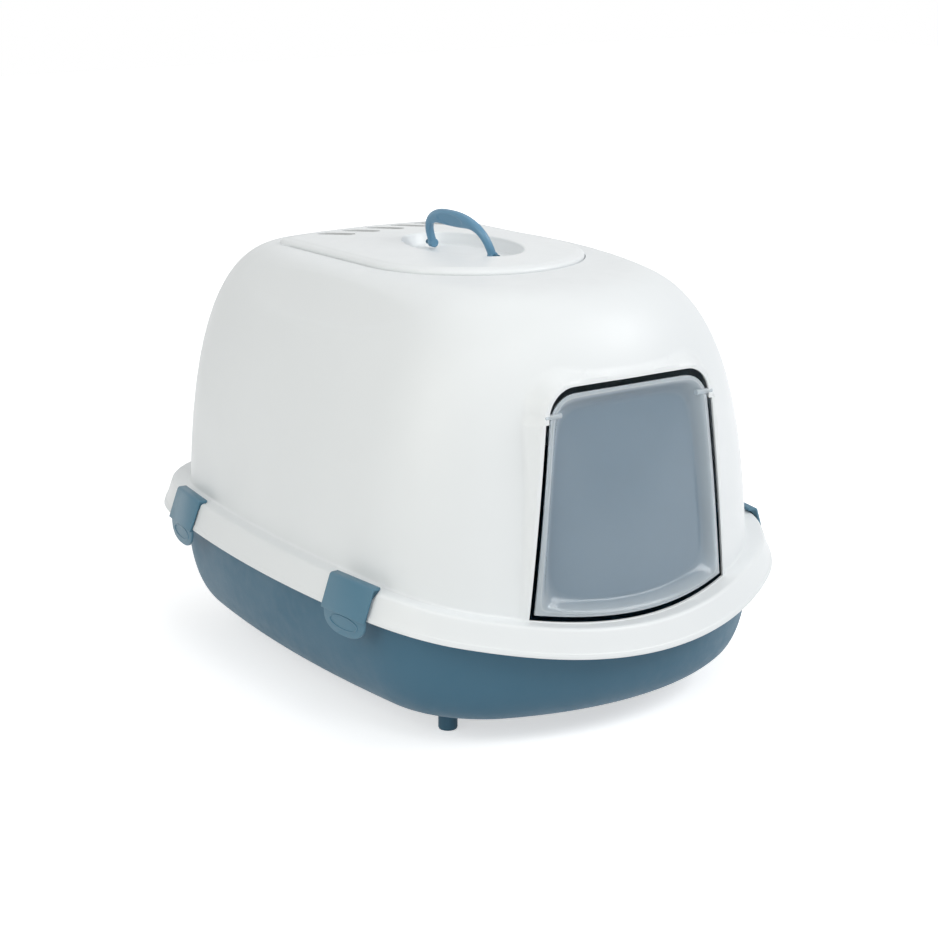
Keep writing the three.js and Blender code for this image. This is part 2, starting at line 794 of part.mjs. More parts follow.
const clipBody = section([
  [skirtFace(hookTop, clipOuter) - clipHookReach, hookTop],
  [skirtFace(hookTop, clipOuter) - clipHookReach, hookUnder],
  [skirtFace(hookUnder, clipGap), hookUnder],
  [clipGap, 0],
  [clipGap, -clipNotchGap],
  [clipOuter, -clipNotchGap],
  [clipOuter, 0],
  [skirtFace(hookTop, clipOuter), hookTop],
], -clipWidth / 2, clipWidth / 2);

function clipTab() {
  const half = clipWidth / 2 - clipTabInset;
  const root = -clipNotchGap - clipTabInset;
  const depth = clipTabLength + root;
  const bend = (value) => Math.sign(value) * Math.abs(value) ** (2 / clipTabFullness);
  const points = [[-half, overrun - clipNotchGap]];
  const steps = 12;
  for (let step = 0; step <= steps; step += 1) {
    const turn = Math.PI + Math.PI * step / steps;
    points.push([half * bend(Math.cos(turn)), root + depth * bend(Math.sin(turn))]);
  }
  points.push([half, overrun - clipNotchGap]);
  const shape = new THREE.Shape(points.map(([y, z]) => new THREE.Vector2(y, z)));
  const geometry = new THREE.ExtrudeGeometry(shape, { depth: clipThickness, bevelEnabled: false });
  geometry.rotateX(Math.PI / 2);
  geometry.rotateZ(Math.PI / 2);
  geometry.translate(clipGap, 0, 0);
  return toSolid(geometry);
}

const barrelTurns = Array.from({ length: thinBarSides }, (_, i) => 2 * Math.PI * i / thinBarSides);
const clipBarrel = section(
  disc(clipBarrelRadius, pivotX, pivotZ, barrelTurns),
  -clipBarrelLength / 2,
  clipBarrelLength / 2,
);
const clipWeb = section([
  [pivotX, pivotZ - clipBarrelRadius / 2],
  [clipGap + clipThickness / 2, pivotZ - clipBarrelRadius / 2],
  [clipGap + clipThickness / 2, pivotZ + clipBarrelRadius / 2],
  [pivotX, pivotZ + clipBarrelRadius / 2],
], -clipBarrelLength / 2, clipBarrelLength / 2);
const clipRodTip = clipBarrelLength / 2 + earGap + clipRodReach;
const clipRod = section(disc(clipRodRadius, pivotX, pivotZ, barrelTurns), -clipRodTip, clipRodTip);
const rodHole = section(
  disc(clipRodRadius + restGap, pivotX, pivotZ, barrelTurns),
  -clipRodTip - overrun,
  clipRodTip + overrun,
);
const clipSolid = clipBody.add(clipTab()).add(clipBarrel).add(clipWeb).subtract(rodHole);

const clipPlaces = [
  ['clip_front_left', clipFrontPlace, -1],
  ['clip_front_right', clipFrontPlace, 1],
  ['clip_rear_left', clipBackPlace, -1],
  ['clip_rear_right', clipBackPlace, 1],
].map(([name, y, side]) => ({ name, side, place: rimPlace(y, side) }));

const clipNotch = block(
  [-clipNotchDepth, -clipWidth / 2 - clipNotchGap, -overrun],
  [overrun, clipWidth / 2 + clipNotchGap, clipNotchHeight],
);

const earSteps = 8;
const earTurns = Array.from({ length: earSteps + 1 }, (_, i) => Math.PI * (i / earSteps - 0.5));
const earShape = [
  [-tubInset - earRootDepth, pivotZ - earRadius - earRootHeight],
  ...disc(earRadius, pivotX, pivotZ, earTurns),
  [-tubInset - earRootDepth, pivotZ + earRadius + earRadius],
];
const earInside = clipBarrelLength / 2 + earGap;
const ears = sides.map((side) => {
  const [low, high] = between(side * earInside, side * (earInside + earThickness));
  return section(earShape, low, high);
});

// Hood: outer form and door pad, less the inner form, the door, notches and roof opening

const padFoot = doorSillHeight - ledgeFillet;
const doorPad = padBlock(0, padFoot);
let hood = hoodOuter.add(doorPad);
hood = hood.subtract(hoodInner.add(padBlock(hoodWall, padFoot - overrun)));
pinSockets.forEach((socket) => {
  hood = hood.add(socket.intersect(doorPad));
});
hood = hood.subtract(doorOpening);
pinHoles.forEach((hole) => {
  hood = hood.subtract(hole);
});
const shelf = prism(plateOutline(shelfBacking), shelfTop - shelfThickness, roofHeight - hoodWall / 2);
hood = hood.add(shelf);
hood = hood.subtract(prism(plateOutline(plateClearance), shelfTop, roofHeight + overrun));
hood = hood.subtract(prism(
  plateOutline(-shelfWidth),
  shelfTop - shelfThickness - overrun,
  roofHeight + overrun,
));
clipPlaces.forEach(({ place }) => {
  hood = hood.subtract(moved(clipNotch, placeMatrix(place)));
});

// Tub: outer form less inner form, with the ears for the clips and collars for the feet

function tubLevel(level, inset) {
  const closing = Math.max(0, 1 - level ** tubRoundnessShare) ** (1 / tubRoundnessShare);
  const grow = (floor, top) => mix(floor - inset, top - inset, closing);
  const points = outline({
    halfWidth: grow(tubFloorHalfWidth, rimHalfWidth - tubInset),
    front: -grow(tubFloorFront, rimHalfLength - tubInset),
    back: grow(tubFloorBack, rimHalfLength - tubInset),
    frontRadius: rimFrontRadius - tubInset - inset,
    sideRadius: rimSideRadius - tubInset - inset,
    backRadius: rimBackRadius - tubInset - inset,
    widest: rimWidestPlace,
    frontCorner: mix(tubFloorCorner, rimCornerRadius - tubInset, closing) - inset,
    backCorner: mix(tubFloorCorner, rimCornerRadius - tubInset, closing) - inset,
  });
  const bottom = tubFloorHeight + inset;
  return points.map(([x, y]) => [x, y, mix(lipUnder + liftAt(x, y), bottom, level)]);
}

const lipTop = ledgeTop - hoodWall - restGap;
const lipUnder = lipTop - tubLipThickness;
const tubLevels = [...tubLevelShares].reverse();
const tubOuter = loft([
  ...tubLevels.map((level) => tubLevel(level, 0)),
  lifted(rimOutline(tubInset), lipUnder - tubLipThickness),
  lifted(rimOutline(tubLipInset), lipUnder),
  lifted(rimOutline(tubLipInset), lipTop),
  lifted(rimOutline(tubInset + tubWall * 2), lipTop),
]);
const tubInner = loft([
  ...tubLevels.map((level) => tubLevel(level, tubWall)),
  lifted(rimOutline(tubInset + tubWall), lipUnder),
  lifted(rimOutline(tubInset + tubWall), lipTop + overrun),
]);

function ringSolid(outer, inner, low, high, sidesCount) {
  const points = [[inner, low], [outer, low], [outer, high], [inner, high], [inner, low]];
  const profile = points.map(([x, y]) => new THREE.Vector2(x, y));
  const geometry = new THREE.LatheGeometry(profile, sidesCount);
  geometry.rotateX(Math.PI / 2);
  return geometry;
}

const footPlaces = [
  ['foot_front_left', -footX, -footY],
  ['foot_front_right', footX, -footY],
  ['foot_rear_left', -footRearX, footRearY],
  ['foot_rear_right', footRearX, footRearY],
];

let tub = tubOuter;
footPlaces.forEach(([, x, y]) => {
  const collar = ringSolid(
    footRadius + footCollar,
    footRadius + restGap,
    tubFloorHeight - footCollarHeight,
    tubFloorHeight + tubWall * 2,
    footSides,
  );
  collar.translate(x, y, 0);
  tub = tub.add(toSolid(collar));
});
clipPlaces.forEach(({ place }) => {
  ears.forEach((ear) => {
    tub = tub.add(moved(ear, placeMatrix(place)));
  });
});
tub = tub.subtract(tubInner);
clipPlaces.forEach(({ place }) => {
  tub = tub.subtract(moved(rodHole, placeMatrix(place)));
});

// Foot: a peg with a rounded lower edge
const footProfile = [
  [0, 0],
  [footRadius - footEdge, 0],
  [footRadius - footEdge * (1 - edgeTurn), footEdge * (1 - edgeTurn)],
  [footRadius, footEdge],
  [footRadius, tubFloorHeight - restGap],
  [0, tubFloorHeight - restGap],
];

// Door flap: a moulded sheet with a dish in it, and a pin at each end of its axis

const flapTop = doorTopHeight - flapTopGap;
const flapInset = flapGap + flapSideGap / 2;
const flapWidth = (z) => rounded(sideWidth(z, -flapInset), flapTop, flapCornerRadius, z);
const dishTop = flapTop - flapRimWidth;
const flapHalfShares = [0.28, 0.55, 0.82, flapDishShare, 1];
const flapShares = [...flapHalfShares.map((share) => -share).reverse(), 0, ...flapHalfShares];

function dish(x, z) {
  const edge = Math.min(
    flapWidth(z) * flapDishShare - Math.abs(x),
    dishTop - z,
    z - sill(x) - flapGap - flapRimWidth,
  );
  return flapDishDepth * Math.min(1, Math.max(0, edge / flapDishSlope));
}

const flapFoot = doorSillHeight + flapGap;
const flapSpan = flapTop - doorSillHeight;
const flapLevels = [0, flapRimWidth, flapRimWidth + flapDishSlope]
  .map((rise) => rise / (flapTop - flapFoot))
  .concat(0.25, 0.45, 0.65)
  .concat([dishTop - flapDishSlope * 2, dishTop - flapDishSlope, dishTop]
    .map((z) => (z - doorSillHeight) / flapSpan))
  .concat([0.5, 0.8, 0.95].map((share) => 1 - flapCornerRadius * (1 - share) / flapSpan))
  .concat(1)
  .sort((a, b) => a - b);
let flap = doorLoft({
  shares: flapShares,
  levels: flapLevels,
  width: flapWidth,
  bottom: (x) => sill(x) + flapGap,
  top: flapTop,
  front: (x, z) => doorFace(x, z) + dish(x, z),
  back: (x, z) => doorFace(x, z) + dish(x, z) + flapThickness,
});
sides.forEach((side) => {
  const [low, high] = between(side * (flapHeadHalfWidth - pinRoot), side * pinTip);
  flap = flap.add(barAlongX(pinRadius, low, high, hingeY, hingeHeight, barSides));
});

// Roof plate: a crowned shell with the handle's hollow, its two bosses and the slots

function crown(x, y, share) {
  const across = Math.min(1, Math.abs(x) / plateFrontRadius);
  return plateCrown * (1 - share ** 2) * (1 - across ** 2 / 4);
}

function crowned(growth, edge, low) {
  const edgeLine = plateOutline(growth);
  const centreY = (plateBackPlace + plateFrontCentre) / 2;
  const ring = (share, height) => edgeLine.map(([x, y]) => {
    const place = [x * share, mix(centreY, y, share)];
    return [...place, height(place[0], place[1], share)];
  });
  const last = plateEdgeShares[plateEdgeShares.length - 1];
  const border = (share) => plateEdgeDrop * (1 - Math.sqrt(1 - ((share - last) / (1 - last)) ** 2));
  return loft([
    ring(1, () => low),
    ring(1, () => edge - plateEdgeDrop),
    ...plateEdgeShares.map((share) => ring(share, (x, y, s) => edge + crown(x, y, s) - border(s))),
    ...plateCrownShares.map((share) => ring(share, (x, y, s) => edge + crown(x, y, s))),
  ]);
}

function ovalRing(halfWidth, halfLength, height) {
  const steps = 32;
  return Array.from({ length: steps }, (_, i) => {
    const turn = 2 * Math.PI * i / steps;
    return [halfWidth * Math.cos(turn), recessCentre + halfLength * Math.sin(turn), height];
  });
}

const plateTop = plateEdgeHeight + plateCrown;
const recessFloor = plateTop - recessDepth;

function bowl(growth, low, high) {
  const narrow = recessHalfWidth - recessSlope + growth;
  const short = recessHalfLength - recessSlope + growth;
  return loft([
    ovalRing(narrow - recessSlope / 2, short - recessSlope / 2, low),
    ovalRing(narrow, short, low + recessSlope / 4),
    ovalRing(recessHalfWidth + growth, recessHalfLength + growth, high),
  ]);
}

let plate = crowned(0, plateEdgeHeight, plateFoot);
plate = plate.subtract(crowned(-plateWall, plateEdgeHeight - plateWall, plateFoot - overrun));
plate = plate.add(bowl(plateWall, recessFloor - plateWall, plateTop)
  .intersect(crowned(0, plateEdgeHeight, plateFoot - overrun)));
plate = plate.subtract(bowl(0, recessFloor, plateTop + restGap));

const pivotHeight = recessFloor + handlePivotHeight;
const legY = recessHalfLength * handleSpanShare;
const bossInside = legY + handleThickness / 2 + earGap;
const plateInside = crowned(-plateWall / 2, plateEdgeHeight - plateWall / 2, plateFoot - overrun);
sides.forEach((side) => {
  const [low, high] = between(recessCentre + side * bossInside, recessCentre + side * recessHalfLength);
  const boss = block(
    [-bossWidth / 2, low, recessFloor - plateWall / 2],
    [bossWidth / 2, high, recessFloor + bossHeight],
  );
  plate = plate.add(boss.intersect(plateInside));
});
const handlePinTip = bossInside + handlePinReach;
plate = plate.subtract(barAlongY(
  handlePinRadius + restGap,
  recessCentre - handlePinTip - restGap,
  recessCentre + handlePinTip + restGap,
  0,
  pivotHeight,
  barSides,
));

function slotOutline() {
  const points = [];
  const steps = 6;
  const half = slotLength / 2;
  [1, -1].forEach((way) => {
    for (let step = 0; step <= steps; step += 1) {
      const turn = Math.PI * step / steps;
      points.push([
        way * slotWidth / 2 * Math.cos(turn),
        way * (half + slotWidth / 2 * Math.sin(turn)),
      ]);
    }
  });
  const skew = slotSkew * degree;
  return points.map(([x, y]) => [
    x * Math.cos(skew) - y * Math.sin(skew),
    x * Math.sin(skew) + y * Math.cos(skew),
  ]);
}

for (let i = 0; i < slotCount; i += 1) {
  const x = (i - (slotCount - 1) / 2) * slotPitch;
  const cut = slotOutline().map(([a, b]) => [a + x, b + slotPlace]);
  plate = plate.subtract(prism(cut, plateFoot - overrun, plateTop + overrun));
}

// A hook under the plate: a leg past the shelf's edge and a barb below the shelf
function snapHook(x, y, outX, outY) {
  const root = plateEdgeHeight - plateWall / 2;
  const barbTop = shelfTop - shelfThickness - restGap;
  const barbFoot = barbTop - hookThickness;
  const half = hookWidth / 2;
  const far = restGap + hookThickness;
  const reach = (a, b, low, high) => {
    const xs = outX === 0 ? [x - half, x + half] : between(x - outX * a, x - outX * b);
    const ys = outY === 0 ? [y - half, y + half] : between(y - outY * a, y - outY * b);
    return block([xs[0], ys[0], low], [xs[1], ys[1], high]);
  };
  return reach(restGap, far, barbFoot, root).add(reach(-hookBarb, far, barbFoot, barbTop));
}

const shelfEdge = plateOutline(-shelfWidth);
const shelfFrontY = Math.min(...shelfEdge.map(([, y]) => y));
const shelfSideX = plateBackHalfWidth - shelfWidth;
const hookSpots = [
  [-shelfSideX, plateFrontCentre + plateBackPlace / 2, -1, 0],
  [shelfSideX, plateFrontCentre + plateBackPlace / 2, 1, 0],
];
hookSpots.forEach((spot) => {
  plate = plate.add(snapHook(...spot));
});

// Filter: a pad in a frame with a barred floor, held under the slots

const frameTop = plateEdgeHeight - plateWall - restGap;
const frameFoot = frameTop - filterThickness - filterGap * 2 - filterWall;
const frameHalfX = filterLength / 2 + filterGap + filterWall;
const frameHalfY = filterWidth / 2 + filterGap + filterWall;
let frame = block(
  [-frameHalfX, filterPlace - frameHalfY, frameFoot],
  [frameHalfX, filterPlace + frameHalfY, frameTop],
);
frame = frame.subtract(block(
  [-frameHalfX + filterWall, filterPlace - frameHalfY + filterWall, frameFoot + filterWall],
  [frameHalfX - filterWall, filterPlace + frameHalfY - filterWall, frameTop + overrun],
));
const windowWidth = (filterLength - filterBarWidth * (filterBars - 1)) / filterBars;
for (let i = 0; i < filterBars; i += 1) {
  const low = -filterLength / 2 + i * (windowWidth + filterBarWidth);
  frame = frame.subtract(block(
    [low, filterPlace - filterWidth / 2 + filterLip, frameFoot - overrun],
    [low + windowWidth, filterPlace + filterWidth / 2 - filterLip, frameFoot + filterWall + overrun],
  ));
}
const filterPinY = filterPlace - frameHalfY + filterPinInset;
const filterPinZ = frameTop - filterPinInset;
const filterEarInside = frameHalfX + filterGap;
sides.forEach((side) => {
  const [low, high] = between(
    side * (frameHalfX - filterWall / 2),
    side * (filterEarInside + filterPinReach),
  );
  frame = frame.add(barAlongX(filterPinRadius, low, high, filterPinY, filterPinZ, thinBarSides));
  const [near, far] = between(side * filterEarInside, side * (filterEarInside + filterEarThickness));
  const ear = barAlongX(filterEarRadius, near, far, filterPinY, filterPinZ, thinBarSides).add(block(
    [near, filterPinY - filterEarRadius, filterPinZ],
    [far, filterPinY + filterEarRadius, plateTop],
  ));
  const within = crowned(-plateWall / 2, plateEdgeHeight - plateWall / 2, recessFloor - plateTop);
  plate = plate.add(ear.intersect(within));
});
plate = plate.subtract(barAlongX(
  filterPinRadius + pinPlay,
  -filterEarInside - filterEarThickness - overrun,
  filterEarInside + filterEarThickness + overrun,
  filterPinY,
  filterPinZ,
  thinBarSides,
));
const pad = block(
  [-filterLength / 2, filterPlace - filterWidth / 2, frameFoot + filterWall + filterGap],
  [filterLength / 2, filterPlace + filterWidth / 2, frameTop - filterGap],
);

// Carry handle: a bail of rounded section, thicker at the grip, with a pin on each leg

function handleRing(centre, tangent, thick, wide) {
  const steps = 12;
  const normal = [0, -tangent[2], tangent[1]];
  return Array.from({ length: steps }, (_, i) => {
    const turn = 2 * Math.PI * i / steps;
    const squared = (value) => Math.sign(value) * Math.abs(value) ** handleEdgeShare;
    const across = squared(Math.cos(turn)) * wide / 2;
    const off = squared(Math.sin(turn)) * thick / 2;
    return [centre[0] + across, centre[1] + normal[1] * off, centre[2] + normal[2] * off];
  });
}

const handleSteps = 22;
const tangentStep = 0.05;
const handleArch = handleRise - handleThickness / 2;
const handleRings = [];
for (let step = 0; step <= handleSteps; step += 1) {
  const share = step / handleSteps;
  const turn = Math.PI * share;
  const at = (angle) => {
    const c = Math.cos(angle);
    const s = Math.sin(angle);
    return [
      0,
      -legY * Math.sign(c) * Math.abs(c) ** handleSquareShare,
      handleArch * s ** handleSquareShare,
    ];
  };
  const here = at(turn);
  const before = at(Math.max(0, turn - tangentStep));
  const after = at(Math.min(Math.PI, turn + tangentStep));
  const run = [0, after[1] - before[1], after[2] - before[2]];
  const length = Math.hypot(run[1], run[2]);
  const unit = run.map((value) => value / length);
  const deeper = (gripDepth - handleThickness) * Math.sin(turn) ** gripSteepness;
  const centre = [0, here[1] + unit[2] * deeper / 2, here[2] - unit[1] * deeper / 2];
  handleRings.push(handleRing(centre, unit, handleThickness + deeper, handleWidth));
}
let handle = loft(handleRings.map((ring) => [...ring].reverse()));
const legInside = legY - handleThickness / 2;
sides.forEach((side) => {
  const [low, high] = between(side * legInside, side * (legInside + handleThickness));
  handle = handle.add(barAlongY(handleHubRadius, low, high, 0, 0, barSides));
});
handle = handle.subtract(barAlongY(
  handlePinRadius + restGap,
  -handlePinTip,
  handlePinTip,
  0,
  0,
  barSides,
));

// The whole box

const box = new THREE.Group();

function addMesh(name, geometry, look, parent = box) {
  geometry.computeVertexNormals();
  const mesh = new THREE.Mesh(geometry, new THREE.MeshStandardMaterial(look));
  mesh.name = name;
  parent.add(mesh);
  return mesh;
}

addMesh('tray', toGeometry(tub), petrol);
addMesh('hood', toGeometry(hood), white);
addMesh('roof_plate', toGeometry(plate), white);
addMesh('filter_frame', toGeometry(frame), white);
addMesh('carbon_filter', toGeometry(pad), charcoal);
addMesh('door_flap', toGeometry(flap), smoke);

const handleMesh = addMesh('carry_handle', toGeometry(handle), handleBlue);
handleMesh.position.set(0, recessCentre, pivotHeight);
handleMesh.rotation.y = -handleTilt * degree;
[['handle_pin_front', -1], ['handle_pin_rear', 1]].forEach(([name, side]) => {
  const [low, high] = between(side * legInside, side * handlePinTip);
  addMesh(name, toGeometry(barAlongY(handlePinRadius, low, high, 0, 0, barSides)), petrol)
    .position.set(0, recessCentre, pivotHeight);
});

clipPlaces.forEach(({ name, place }) => {
  const clip = addMesh(name, toGeometry(clipSolid), clipBlue);
  clip.applyMatrix4(placeMatrix(place));
  const rod = addMesh(name.replace('clip', 'hinge_rod'), toGeometry(clipRod), petrol);
  rod.applyMatrix4(placeMatrix(place));
});

footPlaces.forEach(([name, x, y]) => {
  const profile = footProfile.map(([r, z]) => new THREE.Vector2(r, z));
  const geometry = new THREE.LatheGeometry(profile, footSides);
  geometry.rotateX(Math.PI / 2);
  const foot = addMesh(name, toGeometry(toSolid(geometry)), petrol);
  foot.position.set(x, y, 0);
});

export default box;
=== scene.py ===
# %% [markdown]
# # A covered litter box, dressed
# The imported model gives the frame: which bodies there are, where they turn and how much
# room each solid takes. Every visible surface is then worked out again with numpy, finer
# than a solid model needs it, and given a procedural plastic. Sizes are in millimetres in
# the formulas and become metres when a mesh is made.

# %% The frame and the tools
import math
import bpy
import numpy as np
from mathutils import Matrix


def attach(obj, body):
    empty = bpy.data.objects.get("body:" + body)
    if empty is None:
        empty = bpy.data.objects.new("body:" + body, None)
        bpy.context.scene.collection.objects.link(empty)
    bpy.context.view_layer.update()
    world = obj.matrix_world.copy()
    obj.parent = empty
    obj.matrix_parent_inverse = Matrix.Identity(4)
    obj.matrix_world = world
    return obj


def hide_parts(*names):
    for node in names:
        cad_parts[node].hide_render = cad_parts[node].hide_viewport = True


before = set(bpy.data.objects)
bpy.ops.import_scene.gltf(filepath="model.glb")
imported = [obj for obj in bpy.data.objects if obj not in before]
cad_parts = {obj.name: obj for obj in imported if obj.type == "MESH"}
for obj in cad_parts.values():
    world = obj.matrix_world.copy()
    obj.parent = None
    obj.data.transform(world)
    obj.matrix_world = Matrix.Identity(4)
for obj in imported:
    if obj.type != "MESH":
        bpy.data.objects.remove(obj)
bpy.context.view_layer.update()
print("nodes", len(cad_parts))

# %% [markdown]
# The camera stands left of the door and a little above the roof. Its place and its two
# angles were solved from the slopes of straight edges in the picture, and the three unit
# vectors of its view follow from the angles.

# %% Camera
azimuth, elevation = math.radians(-35.671), math.radians(14.751)
camera_place, focal_length, sensor_width = (-1.4198, -2.0033, 0.8580), 88.12, 36


def set_in_place(thing, axes, place):
    """Links an object, with its three axes and its place as its matrix's columns."""
    rows = np.array(axes).T.tolist()
    thing.matrix_world = Matrix([[*row, p] for row, p in zip(rows, place)] + [[0, 0, 0, 1]])
    bpy.context.scene.collection.objects.link(thing)


right = np.array([math.cos(azimuth), math.sin(azimuth), 0])
back = np.array([
    math.sin(azimuth) * math.cos(elevation), -math.cos(azimuth) * math.cos(elevation),
    math.sin(elevation)])
camera_data = bpy.data.cameras.new("camera")
camera_data.sensor_width, camera_data.lens = sensor_width, focal_length
camera = bpy.data.objects.new("camera", camera_data)
set_in_place(camera, [right, np.cross(back, right), back], camera_place)
bpy.context.scene.camera = camera
bpy.context.scene.view_settings.view_transform = "Standard"
print("camera at", camera_place)

# %% [markdown]
# A mesh is made from whole arrays: points, and quads that join neighbouring rows of a grid.
# A shell is a stack of rings. Where its last ring meets its first, it is a solid wall;
# where it ends at a small ring, a flat cap closes it. Several closed skins can share one
# mesh, so each is a function of the first free point number.

# %% Meshes from arrays
def make_piece(name, points, faces, body, smooth_angle=40, nodes=()):
    """Puts points (n, 3) in millimetres and a list of (k, 3 or 4) face arrays into a mesh."""
    mesh = bpy.data.meshes.new(name)
    points = np.asarray(points, float).reshape(-1, 3) / 1000
    corners = np.concatenate([f.ravel() for f in faces])
    totals = np.concatenate([np.full(len(f), f.shape[1]) for f in faces])
    starts = np.concatenate([[0], np.cumsum(totals)[:-1]])
    mesh.vertices.add(len(points))
    mesh.vertices.foreach_set("co", points.ravel())
    mesh.loops.add(len(corners))
    mesh.loops.foreach_set("vertex_index", corners.astype(np.int32))
    mesh.polygons.add(len(totals))
    mesh.polygons.foreach_set("loop_start", starts.astype(np.int32))
    mesh.polygons.foreach_set("loop_total", totals.astype(np.int32))
    mesh.update(calc_edges=True)
    mesh.validate()
    piece = bpy.data.objects.new(name, mesh)
    bpy.context.scene.collection.objects.link(piece)
    finish_piece(piece, smooth_angle)
    if body:
        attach(piece, body)
        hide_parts(*nodes)
    return piece


def finish_piece(piece, smooth_angle=40):
    """Smooth shading, with edges kept crisp where faces meet at more than smooth_angle."""
    piece.data.polygons.foreach_set("use_smooth", np.ones(len(piece.data.polygons), bool))
    piece.data.set_sharp_from_angle(angle=math.radians(smooth_angle))
    piece.data.update()


def quads(rows, columns, start=0, wrap=True, ring=False):
    """Quad (i, j) joins row i to row i + 1 and column j to column j + 1, wrapping as asked."""
    i = np.arange(rows if ring else rows - 1)[:, None]
    j = np.arange(columns if wrap else columns - 1)[None, :]
    low, high = i * columns, (i + 1) % rows * columns
    near, far = j, (j + 1) % columns
    return start + np.stack([low + near, low + far, high + far, high + near], -1).reshape(-1, 4)


def caps(rows, columns, start=0):
    """Triangle fans that close the first and the last ring of a stack, each round its middle."""
    j = np.arange(columns)
    ahead, top, pole = (j + 1) % columns, (rows - 1) * columns, 0 * j + rows * columns
    fans = np.stack([pole, ahead, j], -1), np.stack([pole + 1, top + j, top + ahead], -1)
    return start + np.concatenate(fans)


def skin(rings):
    """A closed skin over a stack of rings (rows, columns, 3), with a cap at each end."""
    rings = np.asarray(rings, float)
    rows, columns = rings.shape[:2]
    points = np.concatenate([rings.reshape(-1, 3), rings[[0, -1]].mean(1)])
    return lambda start: (points, [quads(rows, columns, start), caps(rows, columns, start)])


def loop_skin(rings):
    """A closed skin over rings of which the last joins the first."""
    return lambda start: (rings.reshape(-1, 3), [quads(*rings.shape[:2], start, ring=True)])


def join(*skins):
    """The points and faces of several closed skins in one mesh."""
    points, faces = [], []
    for part in skins:
        more, these = part(sum(len(p) for p in points))
        points.append(more)
        faces += these
    return np.concatenate(points), faces


def cut(piece, cutter):
    """Takes a closed cutter away from a piece with an exact boolean, and deletes the cutter."""
    modifier = piece.modifiers.new("cut", "BOOLEAN")
    modifier.operation, modifier.solver, modifier.object = "DIFFERENCE", "EXACT", cutter
    graph = bpy.context.evaluated_depsgraph_get()
    result = bpy.data.meshes.new_from_object(piece.evaluated_get(graph))
    piece.modifiers.clear()
    piece.data = result
    bpy.data.objects.remove(cutter)
    finish_piece(piece)
    print(piece.name, "after the cut", len(result.polygons), "faces")


# %% [markdown]
# Two simple skins come back again and again: an outline carried straight along an axis,
# and a profile turned about a line. Both are rings put side by side.

# %% Simple skins
def round_turns(count):
    """The angles 2 pi k / count, for k from 0."""
    return np.arange(count) / count * 2 * math.pi


def on_circle(a):
    """(cos a, sin a)"""
    return np.stack([np.cos(a), np.sin(a)], -1)


def at_height(line, z):
    """Points x, y made x, y, z."""
    return np.concatenate([line, np.full((len(line), 1), z)], -1)


def prism(line, low, high, axis):
    """A closed skin over an outline carried from low to high along an axis (0, 1 or 2)."""
    return skin([np.insert(line, axis, value, axis=1) for value in (low, high)])


def round_rings(profile, centre, axis, sides):
    """A profile of (radius, place) about a line along an axis: centre + radius (cos a, sin a)."""
    circle = on_circle(round_turns(sides))
    return np.stack([np.insert(centre + r * circle, axis, place, axis=1) for r, place in profile])


# %% [markdown]
# Every horizontal outline of the box is five tangent arcs from the middle of the front to
# the middle of the back, and their mirror image. The two corner arcs have their centres
# where circles about the neighbouring centres cross, so all five stay tangent. A spline
# would be shorter to write, but its curvature wanders between its points.

# %% Outlines
arc_counts = (56, 46, 34, 26, 18)
# half the rim's width and length, where it is widest, and the radii of its arcs
rim_width, rim_length, widest_y = 268, 355, -71
rim_radii = (357, 1617, 374, 145, 145)


def crossing(a, reach_a, b, reach_b, side):
    """Where circles round a and b cross: a + (b - a) t/d, plus or minus h across it, with
    t = (reach_a^2 - reach_b^2 + d^2)/2d and h^2 = reach_a^2 - t^2."""
    gap = b - a
    d = np.hypot(*gap)
    t = (reach_a**2 - reach_b**2 + d**2) / (2 * d)
    h = np.sqrt(np.maximum(reach_a**2 - t**2, 0))
    foot, across = a + gap / d * t, np.array([-gap[1], gap[0]]) / d * h
    one, two = foot + across, foot - across
    return np.where(one[0] + side * one[1] > two[0] + side * two[1], one, two)


def outline(*sizes):
    """Ring of x, y on five arcs, for a stack of levels at once: x = cx + r cos a and
    y = cy + r sin a. It reaches x = half at y = widest, and y = front and rear at x = 0."""
    sizes = [np.asarray(v, float) for v in np.broadcast_arrays(*sizes)]
    half, front, rear, widest, front_r, side_r, rear_r, nose_r, tail_r = sizes
    zero = np.zeros_like(half)
    f = np.array([zero, front + front_r])
    s = np.array([half - side_r, widest])
    b = np.array([zero, rear - rear_r])
    nose = crossing(f, front_r - nose_r, s, side_r - nose_r, -1)
    tail = crossing(b, rear_r - tail_r, s, side_r - tail_r, 1)
    turn = lambda a, p: np.arctan2(p[1] - a[1], p[0] - a[0])
    ends = [
        zero - math.pi / 2, turn(f, nose), turn(s, nose), turn(s, tail), turn(b, tail),
        zero + math.pi / 2]
    arcs = ((f, front_r), (nose, nose_r), (s, side_r), (tail, tail_r), (b, rear_r))
    parts = []
    for i, (centre, radius) in enumerate(arcs):
        share = np.arange(arc_counts[i]) / arc_counts[i]
        angle = ends[i][..., None] + (ends[i + 1] - ends[i])[..., None] * share
        middle = np.moveaxis(centre, 0, -1)[..., None, :]
        parts.append(middle + radius[..., None, None] * on_circle(angle))
    half = np.concatenate(parts + [np.stack([zero, rear], -1)[..., None, :]], -2)
    return np.concatenate([half, half[..., -2:0:-1, :] * [-1, 1]], -2)


def rim_outline(inset):
    """The rim's outline drawn in by inset."""
    d = np.asarray(inset, float)
    return outline(
        rim_width - d, d - rim_length, rim_length - d, widest_y,
        *[r - d for r in rim_radii])


# %% [markdown]
# The rim isn't level: it climbs a little to the back and dips at the front, under the door.
# Points inside the rim are lifted as much as the rim itself in the same direction, so that
# skirt, ledge and tub run parallel.

